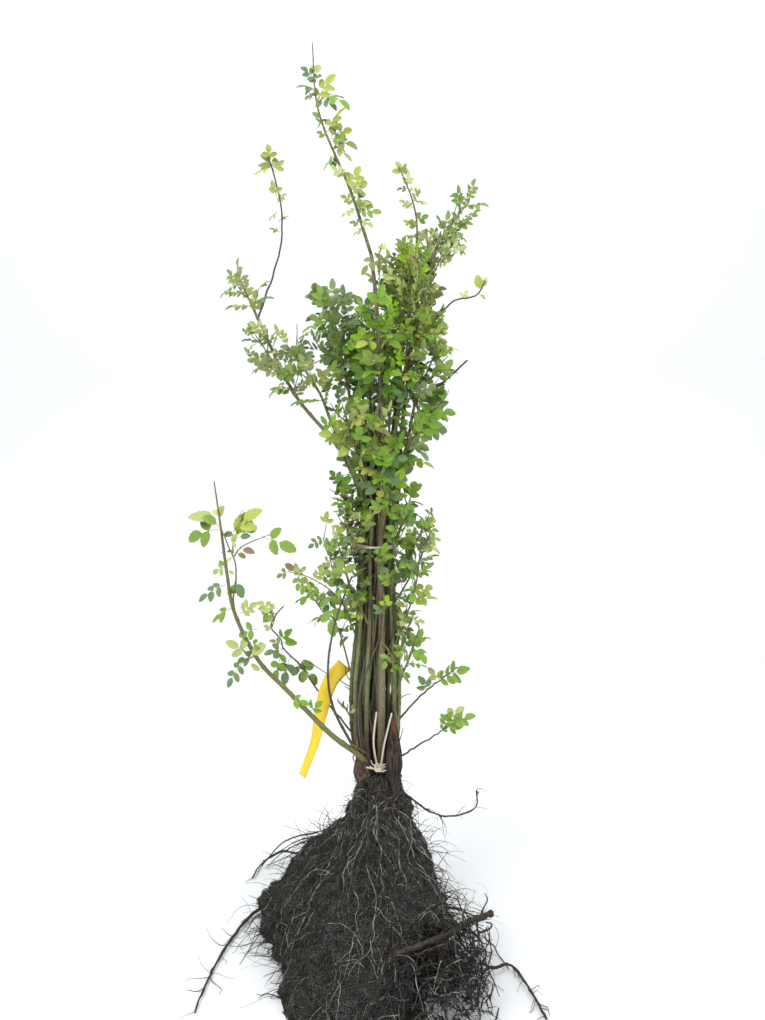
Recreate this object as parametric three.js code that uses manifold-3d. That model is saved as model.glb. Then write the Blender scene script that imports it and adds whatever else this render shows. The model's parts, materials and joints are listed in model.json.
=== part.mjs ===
// A young rose bush: many thin canes tied in a sheaf, rising from one soil-filled root ball.
//
// The unit is the millimetre and +Z is up. The origin is on the flat underside of the root ball,
// below the collar where the canes begin. +X is to the viewer's right and -Y is towards the viewer.
//
// Canes stand in rings inside the sheaf and each keeps its own place, so none crosses another.
// Above the upper tie they part, and each ends where its mass of leaves begins. A mass is one stem
// that carries twigs and blades, grown by one seeded rule inside a space of its own.

import * as THREE from 'three';
import { mergeVertices } from 'three/addons/utils/BufferGeometryUtils.js';
import Module from 'manifold-3d';

const wasm = await Module();
wasm.setup();

// ---------------------------------------------------------------- driving dimensions

const GAP = 0.4; // clear air between neighbouring solids
const SIDE_GAP = 1; // the same where a shoot leaves the side of a limb
const SMALLEST = { limbSteps: 5, stemSteps: 3 };

const BALL = {
  height: 160, neck: { x: -3, y: -9, rx: 26, ry: 31 }, foot: { x: -20, y: -58 }, rings: 8, segments: 36,
  lump: 5, waves: [[7, 9], [11, -17]], // how often each wave of lumps goes round the ball, and its slant
};
const CANE_FOOT = BALL.height + 1.1; // canes lean a little, and begin just above the ball

// The outline of the root ball on the ground, anticlockwise from the right.
const BALL_FOOT = [
  [66, -50], [66, 5], [30, 62], [-40, 86], [-112, 68], [-140, 10],
  [-148, -74], [-104, -118], [-90, -178], [-10, -204], [88, -182], [102, -122],
];

// The sheaf of canes at several heights: its middle and the radius of its outer ring.
const SHEAF = [
  { z: CANE_FOOT, x: -7, ring: 15.5 },
  { z: 212, x: -9, ring: 25 },
  { z: 275, x: -7.5, ring: 27 },
  { z: 350, x: -4.5, ring: 21.5 },
  { z: 438, x: -3, ring: 18 },
  { z: 486, x: 1, ring: 19.5 },
];
const INNER_RING = 0.5; // the inner ring's radius as a share of the outer one
const LIMB = { sides: 6, thinSides: 5, step: 62, twigStep: 34 };
const TWIG = { sides: 3, foot: 1.2, tip: 1.0, root: 0.5 };

// A leaf has one or two pairs of blades and one at its end. Angles are in radians.
const LEAF = {
  length: 26, width: 18, thick: 1.7, widest: 0.48, apart: 18, opening: 1.32, lift: 3, droop: 4,
  stalk: [6, 14], spread: [0.5, 1.3], endSpread: 0.12, facing: { out: 0.45, up: 0.5 },
  tipIn: 1.5, every: 8.6, attempts: 8, retry: 0.37, wander: 0.6,
};
const LEAF_SIZES = [[2, 1], [2, 0.8], [1, 1.05], [1, 0.8], [1, 0.62]]; // pairs of blades, size
const GOLDEN_ANGLE = THREE.MathUtils.degToRad(137.5);
const UP = new THREE.Vector3(0, 0, 1);

const COLOURS = {
  soil: 0x2b2622, root: 0x4a3b30, old_bark: 0x5a4234, cane: 0x6f7a45, tan_cane: 0x8a7a5c,
  leaf: 0x5f9a38, young_leaf: 0x8fbf3f, deep_leaf: 0x3f7350, twine: 0xd8cdb4, label: 0xf4dc2c,
};
const ROUGHNESS = { soil: 0.95, leaf: 0.6, young_leaf: 0.6, deep_leaf: 0.6, label: 0.45, other: 0.8 };

// ---------------------------------------------------------------- small helpers

const { lerp, smoothstep, clamp } = THREE.MathUtils;
const point = ([x, y, z]) => new THREE.Vector3(x, y, z);
const smoothCurve = (points) => new THREE.CatmullRomCurve3(points);

/** A repeatable source of numbers from 0 to 1. */
function seeded(seed) {
  let state = seed >>> 0;
  return () => {
    state = (state + 0x6d2b79f5) >>> 0;
    let t = Math.imul(state ^ (state >>> 15), 1 | state);
    t = (t + Math.imul(t ^ (t >>> 7), 61 | t)) ^ t;
    return ((t ^ (t >>> 14)) >>> 0) / 4294967296;
  };
}

/** Only the positions of a geometry, with its shared vertices merged. */
function bare(geometry) {
  const clean = geometry.index ? geometry.toNonIndexed() : geometry;
  const positions = new THREE.BufferGeometry();
  positions.setAttribute('position', clean.getAttribute('position'));
  return mergeVertices(positions, 1e-4);
}

/** Moves every vertex of a geometry by a function of its place. */
function reshape(geometry, move) {
  const place = geometry.getAttribute('position');
  const vertex = new THREE.Vector3();
  for (let i = 0; i < place.count; i++) {
    const moved = move(vertex.fromBufferAttribute(place, i));
    place.setXYZ(i, moved.x, moved.y, moved.z);
  }
  return geometry;
}

function toSolid(geometry) {
  const merged = bare(geometry);
  return new wasm.Manifold(new wasm.Mesh({
    numProp: 3,
    vertProperties: new Float32Array(merged.getAttribute('position').array),
    triVerts: new Uint32Array(merged.index.array),
  }));
}

/** The largest body of a solid as a geometry: loose scraps and sealed hollows are left behind. */
function toGeometry(solid) {
  const whole = solid.decompose().reduce((a, b) => (a.volume() > b.volume() ? a : b));
  const mesh = whole.getMesh();
  const positions = new Float32Array(mesh.numVert * 3);
  for (let i = 0; i < mesh.numVert; i++) {
    positions.set(mesh.vertProperties.subarray(i * mesh.numProp, i * mesh.numProp + 3), i * 3);
  }
  return new THREE.BufferGeometry()
    .setAttribute('position', new THREE.BufferAttribute(positions, 3))
    .setIndex(new THREE.BufferAttribute(new Uint32Array(mesh.triVerts), 1));
}

/** A round bar of changing girth bent along a curve, closed at both ends. */
function bentBar(curve, girthAt, sides, steps) {
  const frames = curve.computeFrenetFrames(steps, false);
  return bare(reshape(new THREE.CylinderGeometry(1, 1, 1, sides, steps), ({ x, y, z }) => {
    const along = clamp(y + 0.5, 0, 1);
    const step = Math.round(along * steps);
    const girth = girthAt(along);
    return curve.getPointAt(along)
      .addScaledVector(frames.binormals[step], x * girth)
      .addScaledVector(frames.normals[step], z * girth);
  }));
}

// ---------------------------------------------------------------- the group and its named meshes

const bush = new THREE.Group();
bush.name = 'rose_bush';
const limbs = {}; // name -> { curve, foot, tip }
const obstacles = []; // solids that leaves keep clear of

function addMesh(name, geometry, colour) {
  const roughness = ROUGHNESS[colour] ?? ROUGHNESS.other;
  const material = new THREE.MeshStandardMaterial({ color: COLOURS[colour], roughness, metalness: 0 });
  const mesh = new THREE.Mesh(geometry, material);
  mesh.name = name;
  bush.add(mesh);
  obstacles.push(toSolid(geometry));
}

/** One tapering limb along a curve, from its foot's radius to its tip's. */
function addLimb(name, curve, foot, tip, colour, sides = LIMB.sides) {
  limbs[name] = { curve, foot, tip };
  const steps = Math.max(SMALLEST.limbSteps, Math.round(curve.getLength() / LIMB.step));
  addMesh(name, bentBar(curve, (t) => lerp(foot, tip, t), sides, steps), colour);
}

/** The share of a limb's length at which it reaches this height. */
function shareAtHeight({ curve }, height) {
  const divisions = 200;
  const index = curve.getSpacedPoints(divisions).findIndex(({ z }) => z >= height);
  return index < 0 ? 1 : index / divisions;
}

/** Where a shoot begins: just off a limb's tip, or off its side towards a target. */
function springPoint({ curve, foot, tip }, share, target, girth) {
  const origin = curve.getPointAt(share);
  const tangent = curve.getTangentAt(share);
  if (share === 1) return origin.addScaledVector(tangent, GAP);
  const side = target.clone().sub(origin);
  side.addScaledVector(tangent, -side.dot(tangent)).normalize();
  return origin.addScaledVector(side, lerp(foot, tip, share) + girth + SIDE_GAP);
}

// ---------------------------------------------------------------- root ball

/** The ball's surface runs from its spread foot up to its narrow neck. */
function rootBall() {
  const outline = new THREE.CatmullRomCurve3(BALL_FOOT.map(([x, y]) => new THREE.Vector3(x, y, 0)), true);
  const rim = new THREE.Vector3();
  const profile = [new THREE.Vector2(0, 0)];
  for (let i = 0; i <= BALL.rings; i++) profile.push(new THREE.Vector2(1, i / BALL.rings));
  profile.push(new THREE.Vector2(0, 1));
  const lathe = new THREE.LatheGeometry(profile, BALL.segments);
  return bare(reshape(lathe, ({ x, y: height, z }) => {
    const radius = Math.hypot(x, z);
    const turn = (Math.atan2(-z, x) / (2 * Math.PI) + 1) % 1;
    const angle = turn * 2 * Math.PI;
    const spread = 1 - smoothstep(height, 0, 1);
    outline.getPointAt(turn, rim);
    const middle = { x: lerp(BALL.neck.x, BALL.foot.x, spread), y: lerp(BALL.neck.y, BALL.foot.y, spread) };
    const waves = BALL.waves.map(([often, slant]) => Math.sin(often * angle + slant * height));
    const lumps = BALL.lump * spread * (waves[0] + waves[1]);
    const reach = (neck, foot, direction) => radius * (lerp(neck, foot, spread) + lumps * direction);
    return new THREE.Vector3(
      middle.x + reach(BALL.neck.rx * Math.cos(angle), rim.x - BALL.foot.x, Math.cos(angle)),
      middle.y + reach(BALL.neck.ry * Math.sin(angle), rim.y - BALL.foot.y, Math.sin(angle)),
      height * BALL.height,
    );
  }));
}
addMesh('root_ball', rootBall(), 'soil');

// ---------------------------------------------------------------- canes

/** Where a cane passes through the sheaf: its share of the outer ring's radius, and its direction. */
const sheafPoints = (ring, degrees) => SHEAF.map(({ z, x, ring: outer }) => new THREE.Vector3(
  x + ring * outer * Math.cos(THREE.MathUtils.degToRad(degrees)),
  ring * outer * Math.sin(THREE.MathUtils.degToRad(degrees)), z));

// Each cane has its place in the sheaf, its radius at foot and tip, and the points where it goes on
// above the upper tie. The last one is its tip, where its mass of leaves begins.
const CANES = [
  ['cane_tall', [1, 288], [4.3, 2.0], [[6, -14, 610], [3, -9, 704], [-1, -8, 750]]],
  ['cane_low_right', [1, 324], [2.8, 1.9], [[22, -20, 512]]],
  ['cane_right', [1, 0], [2.8, 1.9], [[36, -3, 560]]],
  ['cane_right_back', [1, 36], [3.0, 1.9], [[38, 26, 640]]],
  ['cane_thin', [1, 72], [2.8, 1.3], [[31, 38, 660], [45, 40, 745]]],
  ['cane_back', [1, 108], [2.8, 1.9], [[2, 36, 562]]],
  ['cane_left_back', [1, 144], [2.8, 1.9], [[-30, 28, 596]]],
  ['cane_left_high', [1, 180], [3.2, 1.6], [[-40, 4, 541], [-91, 14, 606], [-133, 24, 696]]],
  ['cane_left_second', [1, 216], [2.8, 1.8], [[-50, -22, 583]]],
  ['cane_low_left', [1, 252], [2.7, 1.9], [[-12, -24, 512]]],
  ['cane_right_top', [INNER_RING, 20], [3.2, 1.8], [[26, 4, 600], [62, 6, 735]]],
  ['cane_centre_back', [INNER_RING, 110], [3.0, 1.9], [[8, 16, 630]]],
  ['cane_left_front', [INNER_RING, 200], [3.2, 1.9], [[-27, -10, 598]]],
  ['cane_centre_right', [INNER_RING, 308], [3.0, 1.9], [[24, -9, 580]]],
  ['cane_centre', [0, 0], [3.0, 1.9], [[-4, 0, 560]]],
];
for (const [name, place, [foot, tip], on] of CANES) {
  const curve = smoothCurve([...sheafPoints(...place), ...on.map(point)]);
  addLimb(name, curve, foot, tip, name === 'cane_tall' ? 'tan_cane' : 'cane');
}

// The low left bough leaves the sheaf at its foot, and is split where it turns upright.
const LOW_BOUGH = [
  ['low_left_bough', [3.3, 2.5], [
    [-22, -26, CANE_FOOT + 1.5], [-30, -28, 186], [-58, -30, 226.7], [-104, -34, 281.5], [-130, -38, 312],
    [-147, -42.6, 347],
  ]],
  ['low_left_bough_top', [2.4, 1.5], [
    [-147.6, -42.8, 348.5], [-158, -45, 381], [-161.5, -46, 412], [-165, -46, 452],
  ]],
];
for (const [name, [foot, tip], path] of LOW_BOUGH) {
  addLimb(name, smoothCurve(path.map(point)), foot, tip, 'cane');
}

// Bare shoots: the limb and the height that each springs from, its radius at foot and tip, and its way.
const BARE_SHOOTS = [
  ['left_arching_twig', 'low_left_bough', 205, [1.7, 0.9], [
    [-54, -33, 263.6], [-57.5, -33, 308], [-48, -33, 358], [-29, -31, 408],
  ]],
  ['right_bare_twig', 'cane_right_top', 592, [1.3, 1.0], [[66, -4, 610], [100, -6, 638]]],
];
for (const [name, parent, height, [foot, tip], on] of BARE_SHOOTS) {
  const limb = limbs[parent];
  const start = springPoint(limb, shareAtHeight(limb, height), point(on[0]), foot);
  addLimb(name, smoothCurve([start, ...on.map(point)]), foot, tip, 'old_bark', LIMB.thinSides);
}

// The old woody stump at the foot of the sheaf, on the right, with its radius at even steps.
const STUMP = {
  path: [[12.5, -32, CANE_FOOT], [13, -33, 198], [13, -32, 254]], girth: [8, 9.2, 8.8, 5.5, 2.2], sides: 8,
};
{
  const last = STUMP.girth.length - 1;
  const girthAt = (t) => {
    const i = Math.min(last - 1, Math.floor(t * last));
    return lerp(STUMP.girth[i], STUMP.girth[i + 1], t * last - i);
  };
  const curve = smoothCurve(STUMP.path.map(point));
  addMesh('old_stump', bentBar(curve, girthAt, STUMP.sides, 2 * last), 'old_bark');
}

// ---------------------------------------------------------------- loose roots

// Each root has its radius at foot and tip, and its way.
const ROOTS = [
  ['root_left_long', [3.0, 1.2], [[-146, -6, 7], [-160, -24, 5], [-180, -100, 3.2], [-183, -172, 3]]],
  ['root_left_upper', [2.2, 1.2], [[-112, 84, 18], [-142, 96, 12], [-166, 72, 5], [-172, 54, 3]]],
  ['root_right_broken', [4.2, 3.4], [[84, -72, 28], [100, -65, 31], [119, -57, 34]]],
  ['root_right_front', [1.8, 1.1], [[112, -112, 8], [132, -104, 3.4], [150, -140, 3], [160, -176, 3]]],
  ['root_right_dry', [1.8, 0.9], [
    [28, -12, 145], [54, -16, 128], [79, -16, 122], [107, -14, 136], [106, -14, 154],
  ]],
];
for (const [name, [foot, tip], path] of ROOTS) {
  addLimb(name, smoothCurve(path.map(point)), foot, tip, 'root', LIMB.thinSides);
}

// ---------------------------------------------------------------- ties and label

const TIE = {
  girth: 1.2, sides: 5, steps: 16, clear: 4.4,
  upper: { z: 438, x: -3, ring: 18 }, foot: { z: 187, x: -8, ring: 22 },
};
// The knot stands in front of the lower tie, and its two ends rise in front of the sheaf.
const KNOT = {
  radius: 4.2, stretch: [1.3, 0.8, 1], around: 6, along: 4, at: [-4, -28, 189], endSteps: 5,
  ends: [
    [[-6, -29, 189], [-9, -38, 222], [-5, -40, 258]],
    [[-2, -29, 189], [3, -43, 222], [12, -44, 258]],
  ],
};

/** A level ring of twine just outside the outer ring of canes. */
function tieRing({ z, x, ring }) {
  const loop = new THREE.TorusGeometry(ring + TIE.clear + TIE.girth, TIE.girth, TIE.sides, TIE.steps);
  return loop.translate(x, 0, z);
}
addMesh('tie_upper', bare(tieRing(TIE.upper)), 'twine');
{
  const knot = new THREE.SphereGeometry(KNOT.radius, KNOT.around, KNOT.along);
  knot.scale(...KNOT.stretch).translate(...KNOT.at);
  const ends = KNOT.ends.map((path) => (
    bentBar(smoothCurve(path.map(point)), () => TIE.girth, TIE.sides, KNOT.endSteps)));
  const fused = [tieRing(TIE.foot), knot, ...ends].map(toSolid);
  addMesh('tie_foot', toGeometry(wasm.Manifold.union(fused)), 'twine');
}

// The label is a strip of plastic film that hangs from the sheaf and turns as it falls.
const LABEL = {
  width: [19, 11], turn: [-0.25, 0.85], thickness: 1, steps: 12,
  path: [[-43, 8, 296], [-60, 4, 277], [-72, -2, 240], [-80, -4, 206], [-95, -6, 168]],
};
{
  const curve = smoothCurve(LABEL.path.map(point));
  const strip = reshape(new THREE.BoxGeometry(1, 1, 1, LABEL.steps, 1, 1), ({ x, y, z }) => {
    const along = x + 0.5;
    const tangent = curve.getTangentAt(along);
    const across = new THREE.Vector3(0, -1, 0).cross(tangent).normalize();
    across.applyAxisAngle(tangent, lerp(...LABEL.turn, along));
    const outward = new THREE.Vector3().crossVectors(tangent, across);
    return curve.getPointAt(along)
      .addScaledVector(across, y * lerp(...LABEL.width, along))
      .addScaledVector(outward, z * LABEL.thickness);
  });
  addMesh('label_strip', bare(strip), 'label');
}

// ---------------------------------------------------------------- masses of leaves

// A mass springs from the tip of its limb, or from its side at `height`. Its stem runs through the
// points `on`. Its leaves keep to a row of balls along the stem, `radius` at the widest, that begins at
// the share `open` of the stem. No leaf grows on the stem's last share, `free`, and the others stand
// `every` so many millimetres.
const MASS = { open: 0.1, free: 0, every: LEAF.every, spread: LEAF.spread };
const MASSES = {
  leaves_tall: {
    limb: 'cane_tall', on: [[-20, -11, 812], [-52, -16, 895], [-56, -16, 959.5]], radius: 33,
    open: 0.08, free: 0.14, every: 11, tint: 'young_leaf',
  },
  leaves_right_top: { limb: 'cane_right_top', on: [[104, 8, 806]], radius: 33, tint: 'young_leaf' },
  leaves_thin: {
    limb: 'cane_thin', on: [[48, 42, 792], [31, 42, 836]], radius: 26,
    open: 0.2, every: 16, tint: 'young_leaf',
  },
  leaves_crown_right_back: { limb: 'cane_right_back', on: [[54, 36, 738]], radius: 41, tint: 'leaf' },
  leaves_crown_upper: {
    limb: 'cane_centre_right', on: [[40, -16, 744]], radius: 37, every: 9.5, tint: 'leaf',
  },
  leaves_crown_right: { limb: 'cane_right', on: [[72, -4, 662]], radius: 38, tint: 'leaf' },
  leaves_crown_left: { limb: 'cane_left_front', on: [[-44, -18, 700]], radius: 44, tint: 'deep_leaf' },
  leaves_crown_left_back: { limb: 'cane_left_back', on: [[-38, 40, 692]], radius: 38, tint: 'deep_leaf' },
  leaves_crown_centre: { limb: 'cane_centre', on: [[-10, 4, 668]], radius: 32, every: 12, tint: 'leaf' },
  leaves_crown_centre_back: {
    limb: 'cane_centre_back', on: [[14, 14, 742]], radius: 32, every: 11, tint: 'leaf',
  },
  leaves_crown_back: { limb: 'cane_back', on: [[4, 56, 660]], radius: 38, tint: 'deep_leaf' },
  leaves_crown_front: { limb: 'cane_tall', height: 590, on: [[4, -46, 690]], radius: 37, tint: 'leaf' },
  leaves_low_left: { limb: 'cane_low_left', on: [[-34, -28, 592]], radius: 38, open: 0, tint: 'leaf' },
  leaves_low_right: { limb: 'cane_low_right', on: [[66, -20, 588]], radius: 38, open: 0, tint: 'deep_leaf' },
  leaves_low_front: { limb: 'cane_tall', height: 474, on: [[10, -48, 576]], radius: 34, tint: 'leaf' },
  leaves_low_back: { limb: 'cane_back', height: 478, on: [[-14, 54, 574]], radius: 38, tint: 'leaf' },
  leaves_left_head: {
    limb: 'cane_left_high', on: [[-150, 26, 736]], radius: 32, open: 0, tint: 'young_leaf',
  },
  leaves_left_middle: { limb: 'cane_left_high', height: 592, on: [[-130, 6, 670]], radius: 31, tint: 'leaf' },
  leaves_left_whip: {
    limb: 'cane_left_high', height: 690, on: [[-104, 32, 768], [-102, 36, 812], [-115, 38, 856]], radius: 25,
    open: 0.6, every: 16, tint: 'young_leaf',
  },
  leaves_left_second: { limb: 'cane_left_second', on: [[-90, -30, 656]], radius: 38, tint: 'leaf' },
  leaves_tie_left: {
    limb: 'cane_left_second', height: 352, on: [[-44, -26, 446]], radius: 28, open: 0.2, tint: 'leaf',
  },
  leaves_tie_right: {
    limb: 'cane_low_right', height: 318, on: [[40, -18, 392], [48, -18, 456]], radius: 30,
    open: 0.35, tint: 'leaf',
  },
  leaves_lower_right: {
    limb: 'cane_low_right', height: 262, on: [[42, -26, 344]], radius: 27, open: 0.3, tint: 'leaf',
  },
  leaves_lower_left: {
    limb: 'cane_left_high', height: 282, on: [[-52, 2, 348], [-86, 4, 400]], radius: 35,
    open: 0.25, every: 9.5, tint: 'leaf',
  },
  leaves_left_twig: {
    limb: 'cane_left_high', height: 214, on: [[-72, 10, 264], [-122, 14, 350]], radius: 29,
    open: 0.4, every: 10, tint: 'leaf',
  },
  leaves_low_left_head: {
    limb: 'low_left_bough_top', on: [[-171, -46, 516]], radius: 42,
    open: 0, free: 0.45, every: 7, spread: [1.0, 1.5], tint: 'leaf',
  },
  leaves_low_left_side: {
    limb: 'low_left_bough_top', height: 391, on: [[-151, -49, 414], [-147, -49, 440], [-108, -49, 464]],
    radius: 29, open: 0.5, tint: 'young_leaf',
  },
  leaves_low_left_middle: {
    limb: 'low_left_bough_top', height: 372, on: [[-186, -46, 402]], radius: 28,
    open: 0.6, every: 9, tint: 'leaf',
  },
  leaves_right_twig: {
    limb: 'cane_right', height: 232, on: [[49, -3, 267], [86, -6, 297]], radius: 26, open: 0.7, tint: 'leaf',
  },
  leaves_right_foot_twig: {
    limb: 'cane_right', height: 182, on: [[58, -4, 214], [92, -8, 238]], radius: 26,
    open: 0.64, tint: 'young_leaf',
  },
  leaves_right_curved_twig: {
    limb: 'cane_right_top', height: 655, on: [[72, -8, 692], [108, -10, 706], [117, -10, 714]], radius: 24,
    open: 0.86, tint: 'young_leaf',
  },
};
const BEADS = 7; // balls in the row that makes a mass's space
const SEEDS = { first: 977, step: 131 };
const SHARED = 0.3; // how far a leaf may lean into a neighbour's space, where that is empty

const LEAD = 0.3; // how far a stem from a limb's tip first runs straight on, as a share of its way
const FULLNESS = { ends: 0.66, lean: 0.8 };

/** How wide a mass's space is at a share of its row: full in the middle, closing at both ends. */
const fullness = (t) => lerp(FULLNESS.ends, 1, Math.sin(Math.PI * t ** FULLNESS.lean));

function planMass([name, given], index) {
  const mass = { ...MASS, ...given, name };
  const limb = limbs[mass.limb];
  const share = mass.height ? shareAtHeight(limb, mass.height) : 1;
  const route = mass.on.map(point);
  const girth = share === 1 ? limb.tip : TWIG.foot;
  const start = springPoint(limb, share, route[0], girth);
  if (share === 1 && route.length === 1) {
    const lead = start.distanceTo(route[0]) * LEAD;
    route.unshift(start.clone().addScaledVector(limb.curve.getTangentAt(1), lead));
  }
  const stem = smoothCurve([start, ...route]);
  const beads = [];
  for (let i = 0; i < BEADS; i++) {
    const t = i / (BEADS - 1);
    beads.push({ centre: stem.getPointAt(lerp(mass.open, 1, t)), radius: mass.radius * fullness(t) });
  }
  return { ...mass, stem, girth, beads, random: seeded(SEEDS.first + SEEDS.step * index) };
}

/** How deep a place is in a mass's space: 0 at its middle line and 1 on its surface. */
const depthIn = ({ beads }, spot) => (
  Math.min(...beads.map(({ centre, radius }) => spot.distanceTo(centre) / radius)));

const plans = Object.entries(MASSES).map(planMass);

/** True if a place is inside this mass's space and not deep in a neighbour's. */
function ownPlace(mass, spot) {
  const mine = depthIn(mass, spot);
  const limit = Math.min(mine - SHARED, 1);
  return mine <= 1 && plans.every((other) => other === mass || depthIn(other, spot) > limit);
}

/** The part of a vector square to an axis, at length 1. */
const squareTo = (axis, vector) => vector.clone().addScaledVector(axis, -vector.dot(axis)).normalize();

/** A direction at an angle to an axis, at a turn round it. */
function spreadFrom(axis, turn, angle) {
  const helper = Math.abs(axis.z) > 0.95 ? new THREE.Vector3(1, 0, 0) : UP;
  const side = squareTo(axis, helper).applyAxisAngle(axis, turn);
  return axis.clone().multiplyScalar(Math.cos(angle)).addScaledVector(side, Math.sin(angle));
}

/**
 * One leaf: a stalk, pairs of blades along it and a blade at its end, all one closed surface. It lies
 * along +X with its face up, and the stalk's foot is at the origin. `rim` lists the blades' corners.
 */
function leafSurface(pairs, stalk, size) {
  const { length, width, thick, widest, apart, opening, lift, droop } = LEAF;
  const vertices = [];
  const faces = [];
  const rim = [];
  const add = (x, y, z) => vertices.push([x, y, z]) - 1;
  const ring = (x, half) => [add(x, half, 0), add(x, 0, half), add(x, -half, 0), add(x, 0, -half)];
  const corner = (x, y, z) => {
    const index = add(x, y, z);
    rim.push(index);
    return index;
  };
  const blade = (x, side) => {
    const angle = side * opening;
    const at = (along, across, z) => corner(
      x + size * (along * Math.cos(angle) - across * Math.sin(angle)),
      size * (along * Math.sin(angle) + across * Math.cos(angle)), size * z);
    const half = (side === -1 ? -1 : 1) * (width / 2);
    const high = side === 0 ? 0 : lift / 2;
    const tip = at(length, 0, side === 0 ? -droop : lift);
    return [at(widest * length, half, high), tip, at(widest * length, -half, high)];
  };

  const foot = ring(0, TWIG.root);
  const joints = [];
  let neck = ring(stalk, thick / 2);
  for (let j = 0; j < pairs; j++) {
    const x = stalk + j * apart * size;
    const between = x + (apart * size) / 2;
    const next = { left: add(between, thick / 2, 0), right: add(between, -thick / 2, 0) };
    joints.push({ x, top: neck[1], under: neck[3], left: neck[0], right: neck[2], next });
    if (j < pairs - 1) {
      const after = x + apart * size;
      neck = [next.left, add(after, 0, thick / 2), next.right, add(after, 0, -thick / 2)];
    }
  }
  const fan = ({ top, under }, line) => line.slice(1).forEach((index, i) => {
    faces.push([top, index, line[i]], [under, line[i], index]);
  });
  joints.forEach((joint, j) => {
    fan(joint, [joint.left, ...blade(joint.x, 1), joint.next.left]);
    fan(joint, [joint.next.right, ...blade(joint.x, -1).reverse(), joint.right]);
    const following = joints[j + 1];
    if (following) {
      faces.push([joint.top, following.top, joint.next.left], [joint.top, joint.next.right, following.top]);
      faces.push([joint.under, joint.next.left, following.under]);
      faces.push([joint.under, following.under, joint.next.right]);
    } else {
      fan(joint, [joint.next.left, ...blade(joint.x, 0), joint.next.right]);
    }
  });
  const first = [joints[0].left, joints[0].top, joints[0].right, joints[0].under];
  for (let i = 0; i < 4; i++) {
    const k = (i + 1) % 4;
    faces.push([foot[i], first[k], first[i]], [foot[i], foot[k], first[k]]);
  }
  faces.push([foot[0], foot[3], foot[1]], [foot[2], foot[1], foot[3]]);
  return { vertices: vertices.map(point), faces, rim };
}

const touches = (solid, others) => others.some((other) => !solid.intersect(other).isEmpty());

/** Places a leaf on a mass's stem if some size of it fits there, and returns its solid. */
function tryLeaf(mass, root, heading, face, leaves) {
  const place = new THREE.Matrix4().makeBasis(heading, new THREE.Vector3().crossVectors(face, heading), face);
  place.setPosition(root);
  for (const [pairs, size] of LEAF_SIZES) {
    const stalk = size * lerp(...LEAF.stalk, mass.random());
    const { vertices, faces, rim } = leafSurface(pairs, stalk, size);
    vertices.forEach((vertex) => vertex.applyMatrix4(place));
    if (!rim.every((index) => ownPlace(mass, vertices[index]))) continue;
    const leaf = toSolid(new THREE.BufferGeometry().setFromPoints(vertices).setIndex(faces.flat()));
    if (!touches(leaf, obstacles) && !touches(leaf, leaves)) return leaf;
  }
  return null;
}

/** The stem and leaves of one mass, all fused. */
function growMass(mass) {
  const { stem, girth, random, open, free } = mass;
  const steps = Math.max(SMALLEST.stemSteps, Math.round(stem.getLength() / LIMB.twigStep));
  const bar = bentBar(stem, (t) => lerp(girth, TWIG.tip, t), TWIG.sides, steps);
  const leaves = [];
  const count = Math.round((stem.getLength() * (1 - open - free)) / mass.every);
  for (let k = 0; k < count; k++) {
    const along = lerp(1 - free, open, k / count) - LEAF.tipIn / stem.getLength();
    const step = Math.floor(along * steps);
    const [before, after] = [stem.getPointAt(step / steps), stem.getPointAt((step + 1) / steps)];
    const root = before.clone().lerp(after, along * steps - step);
    const axis = after.sub(before).normalize();
    for (let attempt = 0; attempt < LEAF.attempts; attempt++) {
      const turn = (k + LEAF.retry * attempt) * GOLDEN_ANGLE + random() * LEAF.wander;
      const spread = k === 0 && free === 0 ? LEAF.endSpread : lerp(...mass.spread, random());
      const heading = spreadFrom(axis, turn, spread);
      const jitter = new THREE.Vector3(random() - 0.5, random() - 0.5, random() - 0.5);
      const facing = new THREE.Vector3(0, Math.sign(heading.y) * LEAF.facing.out, LEAF.facing.up);
      const face = squareTo(heading, facing.add(jitter));
      const leaf = tryLeaf(mass, root, heading, face, leaves);
      if (leaf) {
        leaves.push(leaf);
        break;
      }
    }
  }
  return toGeometry(wasm.Manifold.union([toSolid(bar), ...leaves]));
}

for (const mass of plans) addMesh(mass.name, growMass(mass), mass.tint);

export default bush;
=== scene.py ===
# %% [markdown]
# # A young rose bush on its root ball
# The real plant is a nursery rose, lifted with its roots: slender canes tied in a sheaf, and leaves of up to
# seven leaflets on short twigs. A plain solid model of it is packed already, one solid to a cane, root or mass of
# leaves. Each solid could be given a finish as it stands, but it has a few flat sides only, so here each one is
# replaced by a detailed piece that follows the same route.

# %% Load the frame
import json
import math
from collections import namedtuple

import bmesh
import bpy
import numpy as np
from mathutils import Matrix, Vector, noise
from mathutils.bvhtree import BVHTree


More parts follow.
